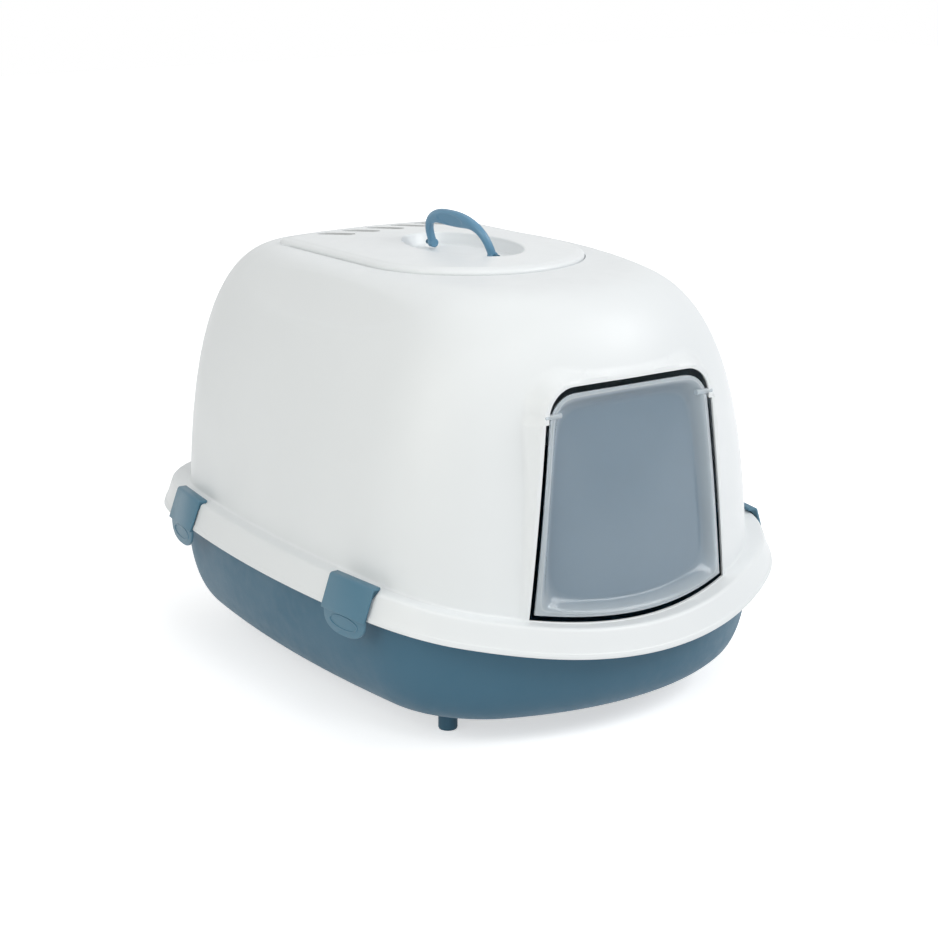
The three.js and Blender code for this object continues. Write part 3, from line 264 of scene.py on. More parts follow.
# %% Lift of the rim
climb, dip, dip_start = 6.6, 41, -177
front_r = rim_radii[0]
front_centre = front_r - rim_length
rim_half = rim_outline(0.0)[: sum(arc_counts) + 1]
rim_turns = np.arctan2(rim_half[:, 1] - front_centre, rim_half[:, 0])


def lift_of(rim_y):
    """6.6 y/355 - 41 (max(0, -177 - y)/178)^2 with the rim's y: a slope and a dip."""
    dipping = np.maximum(0, dip_start - rim_y) / (rim_length + dip_start)
    return climb * rim_y / rim_length - dip * dipping**2


def lift_at(x, y):
    """The lift of the rim in the direction of (x, y) from the front arc's centre."""
    direction = np.arctan2(y - front_centre, np.abs(x))
    return lift_of(np.interp(direction, rim_turns, rim_half[:, 1]))


def raised(ring, height):
    """Rings of x, y made rings of x, y, z = height + lift."""
    z = np.asarray(height, float)[..., None] + lift_at(ring[..., 0], ring[..., 1])
    return np.concatenate([ring, z[..., None]], -1)


# %% [markdown]
# ## The hood
# The hood is one moulded shell: a skirt with a fine bead along its edge, a flat ledge, and
# a body that rises steeply and closes in a soft roof. In plan and in section its walls are
# superellipses, so a single formula gives every level. A shallow scallop on each shoulder
# and the pad round the door are pressed into the same surface.

# %% Levels of the hood
wall, rim_foot, ledge, roof = 2.6, 147.6, 176.6, 453
# each wall: its reach at the ledge and at the roof, its draft and its roundness
side_wall, front_wall = (238, 140, 8.3, 2.18), (322, 164, 15.4, 4.35)
rear_wall = (319, 194, 13.4, 2.89)
# at the ledge and at the roof: where the hood is widest, and the radii of its arcs
hood_widest = (widest_y, 20)
hood_radii = ((360, 154), (1990, 500), (374, 350), (134, 112), (140, 84))
scallop_depth, scallop_y, scallop_z, scallop_length, scallop_height = 4, -7, 422, 153.5, 23.5


def bulge(low, high, draft, roundness, u):
    """high + (low - draft u - high)(1 - u^r)^(1/r)"""
    return high + (low - draft * u - high) * np.maximum(0, 1 - u**roundness) ** (1 / roundness)


def hood_levels(u, inset):
    """Rings of the body at levels u from 0 at the ledge to 1 at the roof, drawn in by inset.
    Radii go from low to high with u^2. The scallop is 4 (1 - dy^2 - dz^2) deep."""
    mix = lambda pair: pair[0] + (pair[1] - pair[0]) * u**2
    reach = lambda low, high, draft, r: bulge(low - inset, high - inset, draft, r, u)
    ring = outline(
        reach(*side_wall), -reach(*front_wall), reach(*rear_wall), mix(hood_widest),
        *[mix(pair) - inset for pair in hood_radii])
    x, y = ring[..., 0], ring[..., 1]
    low = ledge + lift_at(x, y) - inset
    z = low + (roof - inset - low) * u[:, None]
    along, level = (y - scallop_y) / scallop_length, (z - scallop_z) / scallop_height
    hollow = scallop_depth * np.maximum(0, 1 - along**2 - level**2)
    return np.stack([x - np.sign(x) * hollow, y, z - hollow], -1)


# %% [markdown]
# The door stands in a pad that leans out towards the sill. Its face is a plane above the
# pins and a bowed, leaning surface below. Where the pad comes further forward than the
# hood it shows, with its flank blended in by a smooth minimum of the two surfaces.

# %% The door's surfaces
pin_y, pin_z, door_foot = -298, 342, 130
door_plane, door_lean, door_bow = -300, 2.2, 25.4
sill_half, door_taper, taper_top = 126.4, 20.2, 335
sill_step, sill_reach = 1, 329.6
corner_x, corner_z, corner_r = 72.2, 339, 30
pad_border, pad_stand, pad_blend, pad_reach, pad_front = 5, 0.4, 3.0, 40, -180
flank_rise, flank_run = 24, 11


def door_face(x, z):
    """y = -300 - 2.2 d - 25.4 d (1 - (x/126.4)^2), with d the share of the way down."""
    down = np.maximum(0, (pin_z - z) / (pin_z - door_foot))
    return door_plane - door_lean * down - door_bow * down * (1 - (x / sill_half) ** 2)


def sill(x):
    """z = ledge + 1 + lift, with the lift of the front arc in the same direction."""
    rim_x = x * front_r / sill_reach
    return ledge + sill_step + lift_of(front_centre - np.sqrt(front_r**2 - rim_x**2))


def side_at(z):
    """Half the opening's width below the pins: 126.4 at the foot and 106.2 at z = 335."""
    return sill_half - door_taper * (np.minimum(z, taper_top) - door_foot) / (taper_top - door_foot)


def outside(x, z):
    """How far a point lies outside the opening, with its rounded upper corners."""
    across, above = np.abs(x) - corner_x, z - corner_z
    corner = np.hypot(np.maximum(across, 0), np.maximum(above, 0)) - corner_r
    plain = np.maximum(np.abs(x) - side_at(z), z - corner_z - corner_r)
    return np.where((across > 0) & (above > 0), corner, plain)


def smooth_min(a, b, k):
    """The smaller of a and b, rounded over k where they cross."""
    h = np.clip(0.5 + (b - a) / (2 * k), 0, 1)
    return b + (a - b) * h - k * h * (1 - h)


def padded(points, inset):
    """Brings the front forward to the pad: y = smin(y, face - 0.4 + flank)."""
    x, y, z = np.moveaxis(points, -1, 0)
    away = outside(x, z)
    beyond = np.maximum(0, away - pad_border + inset)
    pad = door_face(x, z) - pad_stand + inset + flank_rise * beyond / flank_run
    moved = smooth_min(pad, y, pad_blend)
    y = np.where((y < pad_front) & (away < pad_reach) & (moved < y), moved, y)
    return np.stack([x, y, z], -1)


# %% [markdown]
# The hood's last rings run into the roof plate's outline: a half circle, straight flanks,
# round corners and a bowed back, looked up in the direction of each point of a ring.

# %% The roof's opening
plate_r, plate_front, flank_x, plate_side, plate_back = 125, -23, 111, 158, 170
plate_corner, plate_bow = 12, 16
plate_middle = np.array([0.0, 10.0])


def plate_outline(growth):
    """The roof plate's outline as (x, y), grown all round: circles, and y = 170 + 16 (1 - s^2)."""
    a = np.linspace(-math.pi / 2, 0, 40)
    r, c = plate_r + growth, plate_corner + growth
    front = [0, plate_front] + r * on_circle(a)
    corner = [flank_x, plate_side] + c * on_circle(np.linspace(0, math.pi / 2, 12))
    s = np.linspace(1, 0, 16)[1:]
    rear = np.stack([flank_x * s, plate_back + growth + plate_bow * (1 - s**2)], -1)
    half = np.concatenate([front, corner, rear])
    return np.concatenate([half, half[-2:0:-1] * [-1, 1]])


def around(line, centre, turns):
    """The point of a closed outline in each direction from a centre: c + r(a) (cos a, sin a)."""
    share = np.linspace(0, 1, 16, endpoint=False)[None, :, None]
    dense = line[:, None] * (1 - share) + np.roll(line, -1, 0)[:, None] * share
    dense = dense.reshape(-1, 2) - centre
    angle, radius = np.arctan2(dense[:, 1], dense[:, 0]), np.hypot(dense[:, 0], dense[:, 1])
    order = np.argsort(angle)
    reach = np.interp(turns, angle[order], radius[order], period=2 * math.pi)
    return centre + on_circle(turns) * reach[:, None]


# %% [markdown]
# The hood is one stack of rings that goes up outside and comes down inside, so its wall
# has a real thickness at the door. A Solidify modifier would swell at the skirt's folds.

# %% The hood's shell
fillet, steep_share, crowding = 3, 0.86, 2.6
skirt_foot = np.array([
    [2.6, 0.0], [1.3, 0.0], [0.55, 0.25], [0.3, 0.9], [1.0, 3.0], [1.65, 4.9], [1.85, 5.3],
    [2.45, 5.6], [2.7, 6.1]])
skirt_bend = np.array([[9.4, 24.9], [10.1, 27.4], [11.6, 29.0], [14.6, 29.0]])
inner_in, inner_up = np.array([[14.6, 12.6, 11.4, 2.9], [26.4, 25.6, 22.4, 0.2]])
seat = ((1.2, 449), (-7, 449), (-7, 445), (6, 445), (6, 450.4))


def bezier(p, t):
    """(1 - t)^3 p0 + 3 t (1 - t)^2 p1 + 3 t^2 (1 - t) p2 + t^3 p3"""
    t = t[:, None]
    near, far = (1 - t) ** 3 * p[0] + 3 * t * (1 - t) ** 2 * p[1], 3 * t**2 * (1 - t) * p[2]
    return near + far + t**3 * p[3]


def fillet_ring(radius, a):
    """The round inner corner at the ledge: in by r sin a, and down by r cos a."""
    plan = hood_levels(np.zeros(1), -fillet + radius * math.sin(a))[0, :, :2]
    return raised(plan, ledge + fillet - radius * math.cos(a))[None]


def level_steps(first, steep, soft):
    """Even levels up the wall, then levels that crowd towards 1: 1 - 0.14 (1 - s)^2.6."""
    late = 1 - (1 - np.linspace(0, 1, soft)[1:]) ** crowding * (1 - steep_share)
    return np.concatenate([np.linspace(first, steep_share, steep), late])


skirt_rise = np.linspace((3.3, 7.6), (8.9, 23.6), 5)
skirt_edge = bezier(skirt_bend, np.linspace(0, 1, 8))
profile = np.concatenate([skirt_foot, skirt_rise, skirt_edge, [[18.0, 29.0]]])
skirt = raised(rim_outline(profile[:, 0]), rim_foot + profile[:, 1])
ledge_out = [fillet_ring(fillet, a) for a in np.linspace(0, math.pi / 2, 9)]
body = hood_levels(level_steps(0.04, 64, 44), 0)
roof_ring = body[-1, :, :2]
turns = np.arctan2(roof_ring[:, 1] - plate_middle[1], roof_ring[:, 0])


def flat_ring(growth, z):
    """A ring on the plate's outline with as many points as the hood's rings."""
    return at_height(around(plate_outline(growth), plate_middle, turns), z)[None]


roof_in = flat_ring(1.2, roof)
ledge_in = [fillet_ring(fillet + wall, a) for a in (math.pi / 2, math.pi / 4, 0)]
inner_body = hood_levels(level_steps(0.05, 30, 22)[::-1], wall)
hood_rings = np.concatenate([
    skirt, padded(np.concatenate(ledge_out + [body]), 0), (body[-1:] + roof_in) / 2, roof_in,
    *[flat_ring(*row) for row in seat], padded(np.concatenate([inner_body] + ledge_in), wall),
    raised(rim_outline(inner_in), rim_foot + inner_up)])
points, faces = loop_skin(hood_rings)(0)
hood = make_piece("hood_shell", points, faces, "housing", nodes=("hood",))
print("hood", hood_rings.shape, "rings by points")

# %% [markdown]
# A clip stands square to the rim, so each has a frame of its own: X outwards, Y along the
# rim, Z up, with its origin on the rim's lower edge. The right pair mirrors the left one.

# %% Frames of the clips
left_frames = {
    "clip_front": (
        (-0.99265, -0.12103, 0), (0.12089, -0.99150, -0.04800), (0.00581, -0.04765, 0.99885),
        (-264.1115, -183, 144.1512)),
    "clip_rear": (
        (-0.98854, 0.15098, 0), (-0.15095, -0.98837, -0.01838), (-0.00277, -0.01816, 0.99983),
        (-248.8387, 174, 150.8349)),
}
rod_place = (-6, 1.5)
flip = np.array([-1, 1, 1])
clip_frames = {}
for name, (out, across, rise, place) in left_frames.items():
    axes, place = np.array([out, across, rise]), np.array(place)
    clip_frames[name + "_left"] = (axes, place)
    clip_frames[name + "_right"] = (axes * flip * [[1], [-1], [1]], place * flip)


def placed(part, key):
    """A skin put in a clip's frame: p = origin + x out + y across + z up."""
    axes, place = clip_frames[key]
    def moved(start):
        points, faces = part(start)
        return place + points @ axes, faces
    return moved


print("clips", sorted(clip_frames))

# %% [markdown]
# The opening is cut with one exact boolean. The cutter is the opening's outline carried
# back through the wall, with four blocks for the notches that the clips' webs pass through.

# %% The door's opening and the notches
cut_back, cut_front, notch_half = -200, -345, 23
x_low = np.linspace(-sill_half, sill_half, 61)
shoulder = [[sill_half - door_taper, taper_top - 0.1], [corner_x + corner_r, taper_top + 0.1]]
upper = [corner_x, corner_z] + corner_r * on_circle(np.linspace(0, math.pi / 2, 15))
right_side = np.concatenate([shoulder, upper])
door_line = np.concatenate([
    np.stack([x_low, sill(x_low)], -1), right_side, right_side[::-1] * [-1, 1]])
notch_line = np.array([[-13, -6], [6, -6], [6, 9], [-13, 9]], float)
notch = prism(notch_line, notch_half, -notch_half, 1)
points, faces = join(
    prism(door_line, cut_back, cut_front, 1), *[placed(notch, key) for key in clip_frames])
cut(hood, make_piece("opening_cutter", points, faces, None))

# %% [markdown]
# ## The tub
# The tub is a deep tray with a lip that the hood rests on. Its wall is a superellipse in
# section, so the round bottom edge and the upright side are one curve. The ears that hold
# the clips' rods and the collars round the feet are small skins rooted in its wall.

# %% The tub
# sizes at the floor and at the lip, then the radii of the long arcs
tub_half, tub_front, tub_rear, tub_corner = (158, 242), (259, 329), (254, 329), (95, 119)
tub_radii = (331, 1591, 348)
tub_floor, tub_top, tub_power = 25, 171.1, 3
lip_in = np.array([26, 25.2, 14.9, 14.4, 14.4, 14.9, 27.6, 28.6])
lip_up = np.array([168.6, 169.4, 171.1, 171.6, 173.2, 173.7, 173.7, 172.9])


def tub_levels(v, inset):
    """Rings at v from 0 under the lip to 1 at the floor. Each size is
    floor + (top - floor)(1 - v^3)^(1/3)."""
    closing = np.maximum(0, 1 - v**tub_power) ** (1 / tub_power)
    grow = lambda pair: pair[0] + (pair[1] - pair[0]) * closing - inset
    ring = outline(
        grow(tub_half), -grow(tub_front), grow(tub_rear), widest_y,
        *[r - inset for r in tub_radii], grow(tub_corner), grow(tub_corner))
    low = tub_top + lift_at(ring[..., 0], ring[..., 1])
    z = low + (tub_floor + inset - low) * v[:, None]
    return np.concatenate([ring, z[..., None]], -1)


v_down = np.sin(np.linspace(0, math.pi / 2, 60)) ** (2 / 3)
rise = tub_levels(v_down[::-1], 0)
fall = tub_levels(v_down[::2], wall)
floor_low, floor_high = rise[:1] * [0.9, 0.9, 1], fall[-1:] * [0.9, 0.9, 1]
floor_low[..., 2], floor_high[..., 2] = tub_floor, tub_floor + wall
tub_rings = np.concatenate([
    floor_low * [0.1, 0.1, 1], floor_low, rise[:-1], raised(rim_outline(lip_in), lip_up),
    fall[1:], floor_high, floor_high * [0.1, 0.1, 1]])

ear_r, ear_spans = 4.4, ((25.6, 21.4), (-21.4, -25.6))
ear_end = rod_place + ear_r * on_circle(np.linspace(-math.pi / 2, math.pi / 2, 17))
ear_line = np.concatenate([[[-27.4, -9.5]], ear_end, [[-27.4, 8.5]]])
ears = [placed(prism(ear_line, *span, 1), key) for key in clip_frames for span in ear_spans]
collar = [(10.4, 19.3), (12.9, 19.0), (13.5, 19.6), (13.5, 26.8), (10.4, 26.8)]
foot_places = ((-147, -193), (147, -193), (-115, 216), (115, 216))
collars = [loop_skin(round_rings(collar, place, 2, 48)) for place in foot_places]
points, faces = join(skin(tub_rings), *ears, *collars)
tub = make_piece("tub_shell", points, faces, "housing", nodes=("tray",))
print("tub", len(points), "points")

# %% [markdown]
# ## The roof plate
# The plate is a crowned cover in the roof's opening. Its rings start under the rim, turn
# over a rounded bright lip, run in over the crown, and then follow the oval hollow for the
# handle down its wall and across its floor. The air slots are cut through at the end.

# %% The plate's rings
hinge_y, hinge_z = -13, 458.5
oval_centre = np.array([0.0, hinge_y])
plate_z, plate_crown, crown_power, sheet = 459, 7, 2.4, 3.0
border_width, border_foot, border_rise, top_inset = 11, 454.4, 5.0, 8
hollow_half, hollow_length, mouth_r = 56.5, 85, 2.5
wall_half, wall_length, wall_foot = 50.2, 78.7, 454.2
hollow_floor, hollow_under = 452, 449.2
plate_turns = np.linspace(-math.pi, math.pi, 300, endpoint=False)


def plate_ring(growth, z):
    """The plate's outline, grown, at a height."""
    return at_height(around(plate_outline(growth), oval_centre, plate_turns), z)


def oval_ring(half, length, z):
    """x = half cos t, y = -13 + length sin t, at the same directions as the outline's ring."""
    unit = on_circle(plate_turns)
    reach = 1 / np.hypot(*(unit / [half, length]).T)
    return at_height(oval_centre + unit * reach[:, None], z)


def crown(ring, drop):
    """z = 459 - drop + 7 (1 - e^2.4)(1 - (x/125)^2/4), with e the share of the way out."""
    d = ring[:, :2] - plate_middle
    edge = around(plate_outline(0), plate_middle, np.arctan2(d[:, 1], d[:, 0])) - plate_middle
    e = np.minimum(1, np.hypot(*d.T) / np.hypot(*edge.T))
    ring = ring.copy()
    ring[:, 2] = plate_z - drop + plate_crown * (1 - e**crown_power) * (
        1 - (ring[:, 0] / plate_r) ** 2 / 4)
    return ring


def mouth_ring(a):
    """The hollow's rounded edge: in by 2.5 sin a, and down by 2.5 (1 - cos a)."""
    inset = mouth_r * math.sin(a)
    inward = oval_ring(hollow_half - inset, hollow_length - inset, 0) - hollow_edge
    return hollow_edge + inward * [1, 1, 0] - [0, 0, mouth_r * (1 - math.cos(a))]


def between(first, last, shares):
    """Rings at given shares of the way from one ring to another."""
    return [first * (1 - s) + last * s for s in shares]


foot = [plate_ring(*row) for row in (
    (-2.8, 453.8), (-2.8, 449.5), (-2.4, 449.3), (-0.4, 449.3), (0, 449.7), (0, 452.9), (0, 453.1))]
border = [
    plate_ring(-border_width * (1 - math.cos(a)), border_foot + border_rise * math.sin(a))
    for a in np.radians(np.linspace(0, 68, 12))]
top_edge = crown(plate_ring(-top_inset, plate_z), 0)
hollow_edge = crown(oval_ring(hollow_half, hollow_length, plate_z), 0)
crown_rows = [crown(ring, 0) for ring in between(top_edge, hollow_edge, np.linspace(0, 1, 22))]
mouth = [mouth_ring(a) for a in np.linspace(0, math.pi / 2, 6)[1:]]
low_wall = oval_ring(wall_half, wall_length, wall_foot)
wall_rows = between(mouth[-1], low_wall, np.linspace(0, 1, 6)[1:])
floor_rows = [
    oval_ring(wall_half - d, wall_length - d, z)
    for d, z in ((0.5, 453.2), (1.3, 452.5), (2.6, 452.1), (4.5, hollow_floor))]
floor_rows += [oval_ring(*row, hollow_floor) for row in ((30, 58), (10, 24), (2, 6))]
under = [oval_ring(*row, hollow_under) for row in ((2, 6), (30, 58), (48, 76.5))]
under.append(oval_ring(52.6, 81.1, 450.8))
under_wall = crown(oval_ring(hollow_half + 2.5, hollow_length + 2.5, plate_z), sheet)
under_rows = between(under_wall, plate_ring(-top_inset, plate_z), np.linspace(0, 1, 8))
under += [crown(ring, sheet) for ring in under_rows]
plate_rings = np.stack(under + foot + border + crown_rows + mouth + wall_rows + floor_rows)
print("plate", plate_rings.shape, "rings by points")

# %% [markdown]
# Two bosses hold the handle's pins, and below the roof a hooked latch and an ear on each
# side hold the filter's frame. They are rings too, so they join the plate's mesh.

# %% Bosses, latches and ears of the plate
def rounded_box(low, high, radius):
    """A block whose plan is a rounded rectangle and whose upper edge is rounded."""
    (x0, y0, z0), (x1, y1, z1) = low, high
    unit = on_circle(round_turns(32) + math.pi / 32)
    corner = np.where(unit > 0, [x1 - radius, y1 - radius], [x0 + radius, y0 + radius])
    ring = lambda r, z: at_height(corner + r * unit, z)
    top = [
        ring(radius * math.cos(b) * 0.999 + 0.001, z1 - radius + radius * math.sin(b))
        for b in np.linspace(0, math.pi / 2, 5)]
    return skin([ring(radius, z0)] + top)


def side_box(side, x, y, z):
    """A block between two x, on the right for side = 1 and mirrored for side = -1."""
    x0, x1 = sorted((side * x[0], side * x[1]))
    return rounded_box((x0, y[0], z[0]), (x1, y[1], z[1]), 0.5)


boss_half, boss_r, boss_foot = 7.5, 1.2, 450.4
boss_spans = ((-97.5, -72.4, 463.9), (46.4, 71.5, 465.4))
blocks = [
    rounded_box((-boss_half, y0, boss_foot), (boss_half, y1, z1), boss_r)
    for y0, y1, z1 in boss_spans]
side_spans = (
    ((113.1, 115.7), (54, 70), (442.4, 457.6)), ((113.1, 118.2), (54, 70), (442.1, 444.7)),
    ((92.2, 95.7), (107.6, 116.6), (450.4, 459.5)))
blocks += [side_box(side, *spans) for side in (-1, 1) for spans in side_spans]
points, faces = join(skin(plate_rings), *blocks)
plate = make_piece("plate_shell", points, faces, "housing", nodes=("roof_plate",))

# %% [markdown]
# Five slanting slots let the air out, and one long bore holds the handle's pins. A second
# exact boolean takes them out of the plate, so that their edges are real.

# %% Slots and pin holes
slot_r, slot_half, slot_y, slot_pitch, slot_count, slot_span = 7.5, 16.5, 136, 32.6, 5, (440, 475)
skew = math.radians(24)
end_up = [0, slot_half] + slot_r * on_circle(np.linspace(0, math.pi, 15))
slant = np.array([[math.cos(skew), math.sin(skew)], [-math.sin(skew), math.cos(skew)]])
slot_line = np.concatenate([end_up, -end_up]) @ slant
slot_places = (np.arange(slot_count) - slot_count // 2) * slot_pitch
slots = [prism(slot_line + [x, slot_y], *slot_span, 2) for x in slot_places]
pin_r, bore_ends = 2.9, (-79.2, 53.2)
bore = skin(round_rings([(pin_r, y) for y in bore_ends], (0, hinge_z), 1, 32))
points, faces = join(*slots, bore)
cut(plate, make_piece("slot_cutter", points, faces, None))

# %% [markdown]
# ## The door flap
# The flap is a sheet of clear plastic on a fine grid: across by height. A flange runs round
# it, with a low bead along its inner edge, and inside that the sheet drops into a dish with
# soft slopes. Its pins are turned round the hinge's axis.

# %% The door flap
flap_gap, flap_foot_gap, flap_corner, flap_top = 6.35, 5.6, 31, 362
dish_depth, dish_start, dish_run, sheet_back, softness = 11, 5.2, 9.5, 2.4, 12
bead_height, bead_place, bead_width = 0.55, 4.6, 0.9
columns = rows = 151


def smooth_step(t):
    """3 t^2 - 2 t^3 between 0 and 1"""
    t = np.clip(t, 0, 1)
    return t * t * (3 - 2 * t)


def flap_half(z):
    """Half width: the opening's side line drawn in by 6.35, and rounded over 31 at the top."""
    over = np.maximum(0, z - (flap_top - flap_corner))
    round_part = np.sqrt(np.maximum(flap_corner**2 - over**2, 0))
    return side_at(z) - flap_gap - flap_corner + round_part


def flap_points(across, level):
    """Front and rear: y = face + 11 S((e - 5.2)/9.5), with a bead of 0.55 at e = 4.6. e is the
    distance in from the edge, by soft minima a + b - (a^2 + b^2 + 12)^0.5."""
    half = flap_half(door_foot + (flap_top - door_foot) * level)
    x = across * half
    foot = sill(x) + flap_foot_gap
    z = foot + (flap_top - foot) * level
    near = lambda a, b: a + b - np.sqrt(a * a + b * b + softness)
    e = np.maximum(0, near(near(half - np.abs(x), flap_top - z), z - foot) + 1.5)
    y = door_face(x, z) + dish_depth * smooth_step((e - dish_start) / dish_run)
    bead = bead_height * np.exp(-(((e - bead_place) / bead_width) ** 2))
    return np.stack([x, y + bead_height - bead, z], -1), np.stack([x, y + sheet_back, z], -1), e


def eased(count, share):
    """Steps from 0 to 1 that crowd towards both ends: a stretch of a cosine."""
    v = np.cos(np.linspace(share, 1 - share, count) * math.pi)
    return (v[0] - v) / (v[0] - v[-1])


A, L = np.meshgrid(2 * eased(columns, 0.09) - 1, eased(rows, 0.09))
front, rear, depth_in = flap_points(A, L)
i = np.arange(columns - 1)
edge = np.concatenate([
    i, columns - 1 + columns * i, columns * rows - 1 - i, columns * (rows - 1 - i)])
count = columns * rows
edge_quads = np.stack([edge, edge + count, np.roll(edge, -1) + count, np.roll(edge, -1)], -1)


def flap_skin(start):
    """The two grids, the rear one turned round, and the quads that join their edges."""
    points = np.concatenate([front.reshape(-1, 3), rear.reshape(-1, 3)])
    behind = quads(rows, columns, start + count, wrap=False)[:, ::-1]
    return points, [quads(rows, columns, start, wrap=False), behind, edge_quads + start]


def pin(side):
    """A stub along X, of radius 3, with a bevel at its end."""
    line = [(2.9, 86.5), (3.0, 86.9), (3.0, 106.4), (2.3, 107.1)]
    line = [(r, side * x) for r, x in line][::side]
    return skin(round_rings(line, (pin_y, pin_z), 0, 40))


points, faces = join(flap_skin, pin(1), pin(-1))
flap = make_piece("flap_sheet", points, faces, "flap", nodes=("door_flap",))
# The distance in from the edge on each point sets the flap's painted highlight; the pins get 5, so
# they are painted pale too.
edge_mark = flap.data.attributes.new("edge", "FLOAT", "POINT")
pin_mark = 5.0
marks = np.full(len(flap.data.vertices), pin_mark)
marks[: 2 * depth_in.size] = np.tile(depth_in.ravel(), 2)
edge_mark.data.foreach_set("value", marks.astype(np.float32))
print("flap", len(points), "points")

# %% [markdown]
# ## The carry handle
# The bail is a section carried along an arch: a superellipse that deepens inwards at the
# grip, so that the arch fills out in the middle. A shallow oval is pressed into its side.

# %% The carry handle
arch_half, arch_rise, arch_square = 55, 42.6, 0.8
bail_thick, bail_wide, bail_square, tilt = 8, 8.5, 0.75, math.radians(21)
grip_depth, grip_power, grip_widening = 11, 4, 0.05
panel_half, panel_height, panel_depth, panel_slope = 24, 0.74, 0.9, 0.14
steps, sides = 150, 56
power = lambda v, e: np.sign(v) * np.abs(v) ** e


def arch(t):
    """(y, z) = (-55 sgn(cos) |cos t|^0.8, 42.6 sin^0.8 t): a rounded square arch."""
    rise = arch_rise * np.maximum(np.sin(t), 0) ** arch_square
    return np.stack([-arch_half * power(np.cos(t), arch_square), rise], -1)


fine_t = np.linspace(0, np.pi, 4001)
fine = arch(fine_t)
travel = np.concatenate([[0], np.cumsum(np.hypot(*np.diff(fine, axis=0).T))])
even = np.linspace(0, 1, steps) * travel[-1]
middle = np.stack([np.interp(even, travel, fine[:, k]) for k in (0, 1)], -1)
t = np.interp(even, travel, fine_t)
run = np.gradient(middle, axis=0)
run /= np.hypot(*run.T)[:, None]
deeper = grip_depth * np.sin(t) ** grip_power
middle = middle + np.stack([run[:, 1], -run[:, 0]], -1) * deeper[:, None] / 2
thick, wide = bail_thick + deeper, bail_wide + grip_widening * deeper
a = round_turns(sides)
high = power(np.sin(a), bail_square)[None]
x = power(np.cos(a), bail_square)[None] * wide[:, None] / 2
off = high * thick[:, None] / 2
oval = np.sqrt((middle[:, :1] / panel_half) ** 2 + (high / panel_height) ** 2)
x = x + panel_depth * smooth_step((1 - oval) / panel_slope) * (np.cos(a) < 0)[None]
y = middle[:, 0, None] - run[:, 1, None] * off
z = middle[:, 1, None] + run[:, 0, None] * off
rings = np.stack([
    x * math.cos(tilt) - z * math.sin(tilt), y + hinge_y,
    hinge_z + x * math.sin(tilt) + z * math.cos(tilt)], -1)


def hub(side):
    """The round eye of the bail about its pin, with bevelled faces."""
    line = [(4.3, 51.0), (4.8, 51.6), (4.8, 58.4), (4.3, 59.0)]
    line = [(r, hinge_y + side * y) for r, y in line][::-side]
    return skin(round_rings(line, (0, hinge_z), 1, 40))


points, faces = join(skin(rings[:, ::-1]), hub(1), hub(-1))
bail = make_piece(
    "bail_grip", points, faces, "handle", nodes=("carry_handle",))
print("handle", len(points), "points")

# %% [markdown]
# ## The clips
# A clip is a strip bent into an L: a face that lies against the skirt and a hook over the
# ledge. Below the rim a half-round thumb tab hangs from it, set back a little, with a low
# oval ridge. Barrel and web behind it turn on the rod. All four clips share these skins.

# %% The clips
face_x, inner_x, top_z, under_z, hook_reach = 3.6, 0.8, 32.6, 29.8, 10
clip_half, tab_half, tab_foot, tab_drop, barrel_half = 33, 31.6, -2.4, 21.3, 21
ridge_half, ridge_rise, ridge_z, ridge_r, barrel_r = 21, 6.6, -10.4, 0.9, 3.4


def skirt_x(z, offset):
    """The skirt leans in by 10 over 29."""
    return offset - 10 / 29 * z


def strip_line():
    """The section of the bent strip, as (x, z), with a rounded outer bend and rounded ends."""
    bend = bezier(np.array([
        [skirt_x(29.4, face_x), 29.4], [skirt_x(31.6, face_x), 31.6],
        [skirt_x(top_z, 3.3) - 0.6, top_z], [skirt_x(top_z, 0.9), top_z]]), np.linspace(0, 1, 9))
    tip = skirt_x(top_z, face_x) - hook_reach
    return np.array([
        [inner_x, -1.6], [3.3, -1.6], [face_x, -1.3], [face_x, 0.0], *bend.tolist(),
        [tip + 0.5, top_z], [tip, 32.2], [tip, under_z], [skirt_x(under_z, inner_x), under_z],
        [inner_x, 0.0]])


def rounded_ends(line, half):
    """Rings of one outline along Y, drawn in a little towards each end: a soft bevel."""
    spans = [(half, 0.5), (half - 0.15, 0.2), (half - 0.5, 0.0)]
    spans += [(-y, d) for y, d in spans[::-1]]
    normal = np.roll(line, -1, 0) - np.roll(line, 1, 0)
    normal = np.stack([normal[:, 1], -normal[:, 0]], -1) / np.hypot(*normal.T)[:, None]
    return [np.insert(line - normal * d, 1, y, axis=1) for y, d in spans]


def tab_rings():
    """A plate 2.6 thick whose outline is (31.6 c^0.8, -2.4 - 21.3 s^0.8), with soft edges."""
    t = np.linspace(0, math.pi, 49)
    lower = np.stack([tab_half * power(np.cos(t), 0.8), tab_foot - tab_drop * np.sin(t) ** 0.8], -1)
    line = np.concatenate([lower, [[-tab_half, 3.0], [tab_half, 3.0]]])[::-1]
    middle = np.array([0, -10.0])
    rows = [(-1.4, 0.985), (-1.1, 1.0), (0.5, 1.0), (1.0, 0.99), (1.2, 0.97)]
    return [np.insert(middle + (line - middle) * k, 0, x, axis=1) for x, k in rows]


def ridge_rings():
    """A round section carried along the oval (21 cos t, -10.4 + 6.6 sin t): radius 0.9."""
    t, b = round_turns(72), round_turns(10)
    line = [0, ridge_z] + on_circle(t) * [ridge_half, ridge_rise]
    out = on_circle(t) * [ridge_rise, ridge_half]
    out /= np.hypot(*out.T)[:, None]
    y, z = [line[None, :, k] + ridge_r * np.cos(b)[:, None] * out[None, :, k] for k in (0, 1)]
    return np.stack([1.15 + 0.75 * np.sin(b)[:, None] + 0 * y, y, z], -1)


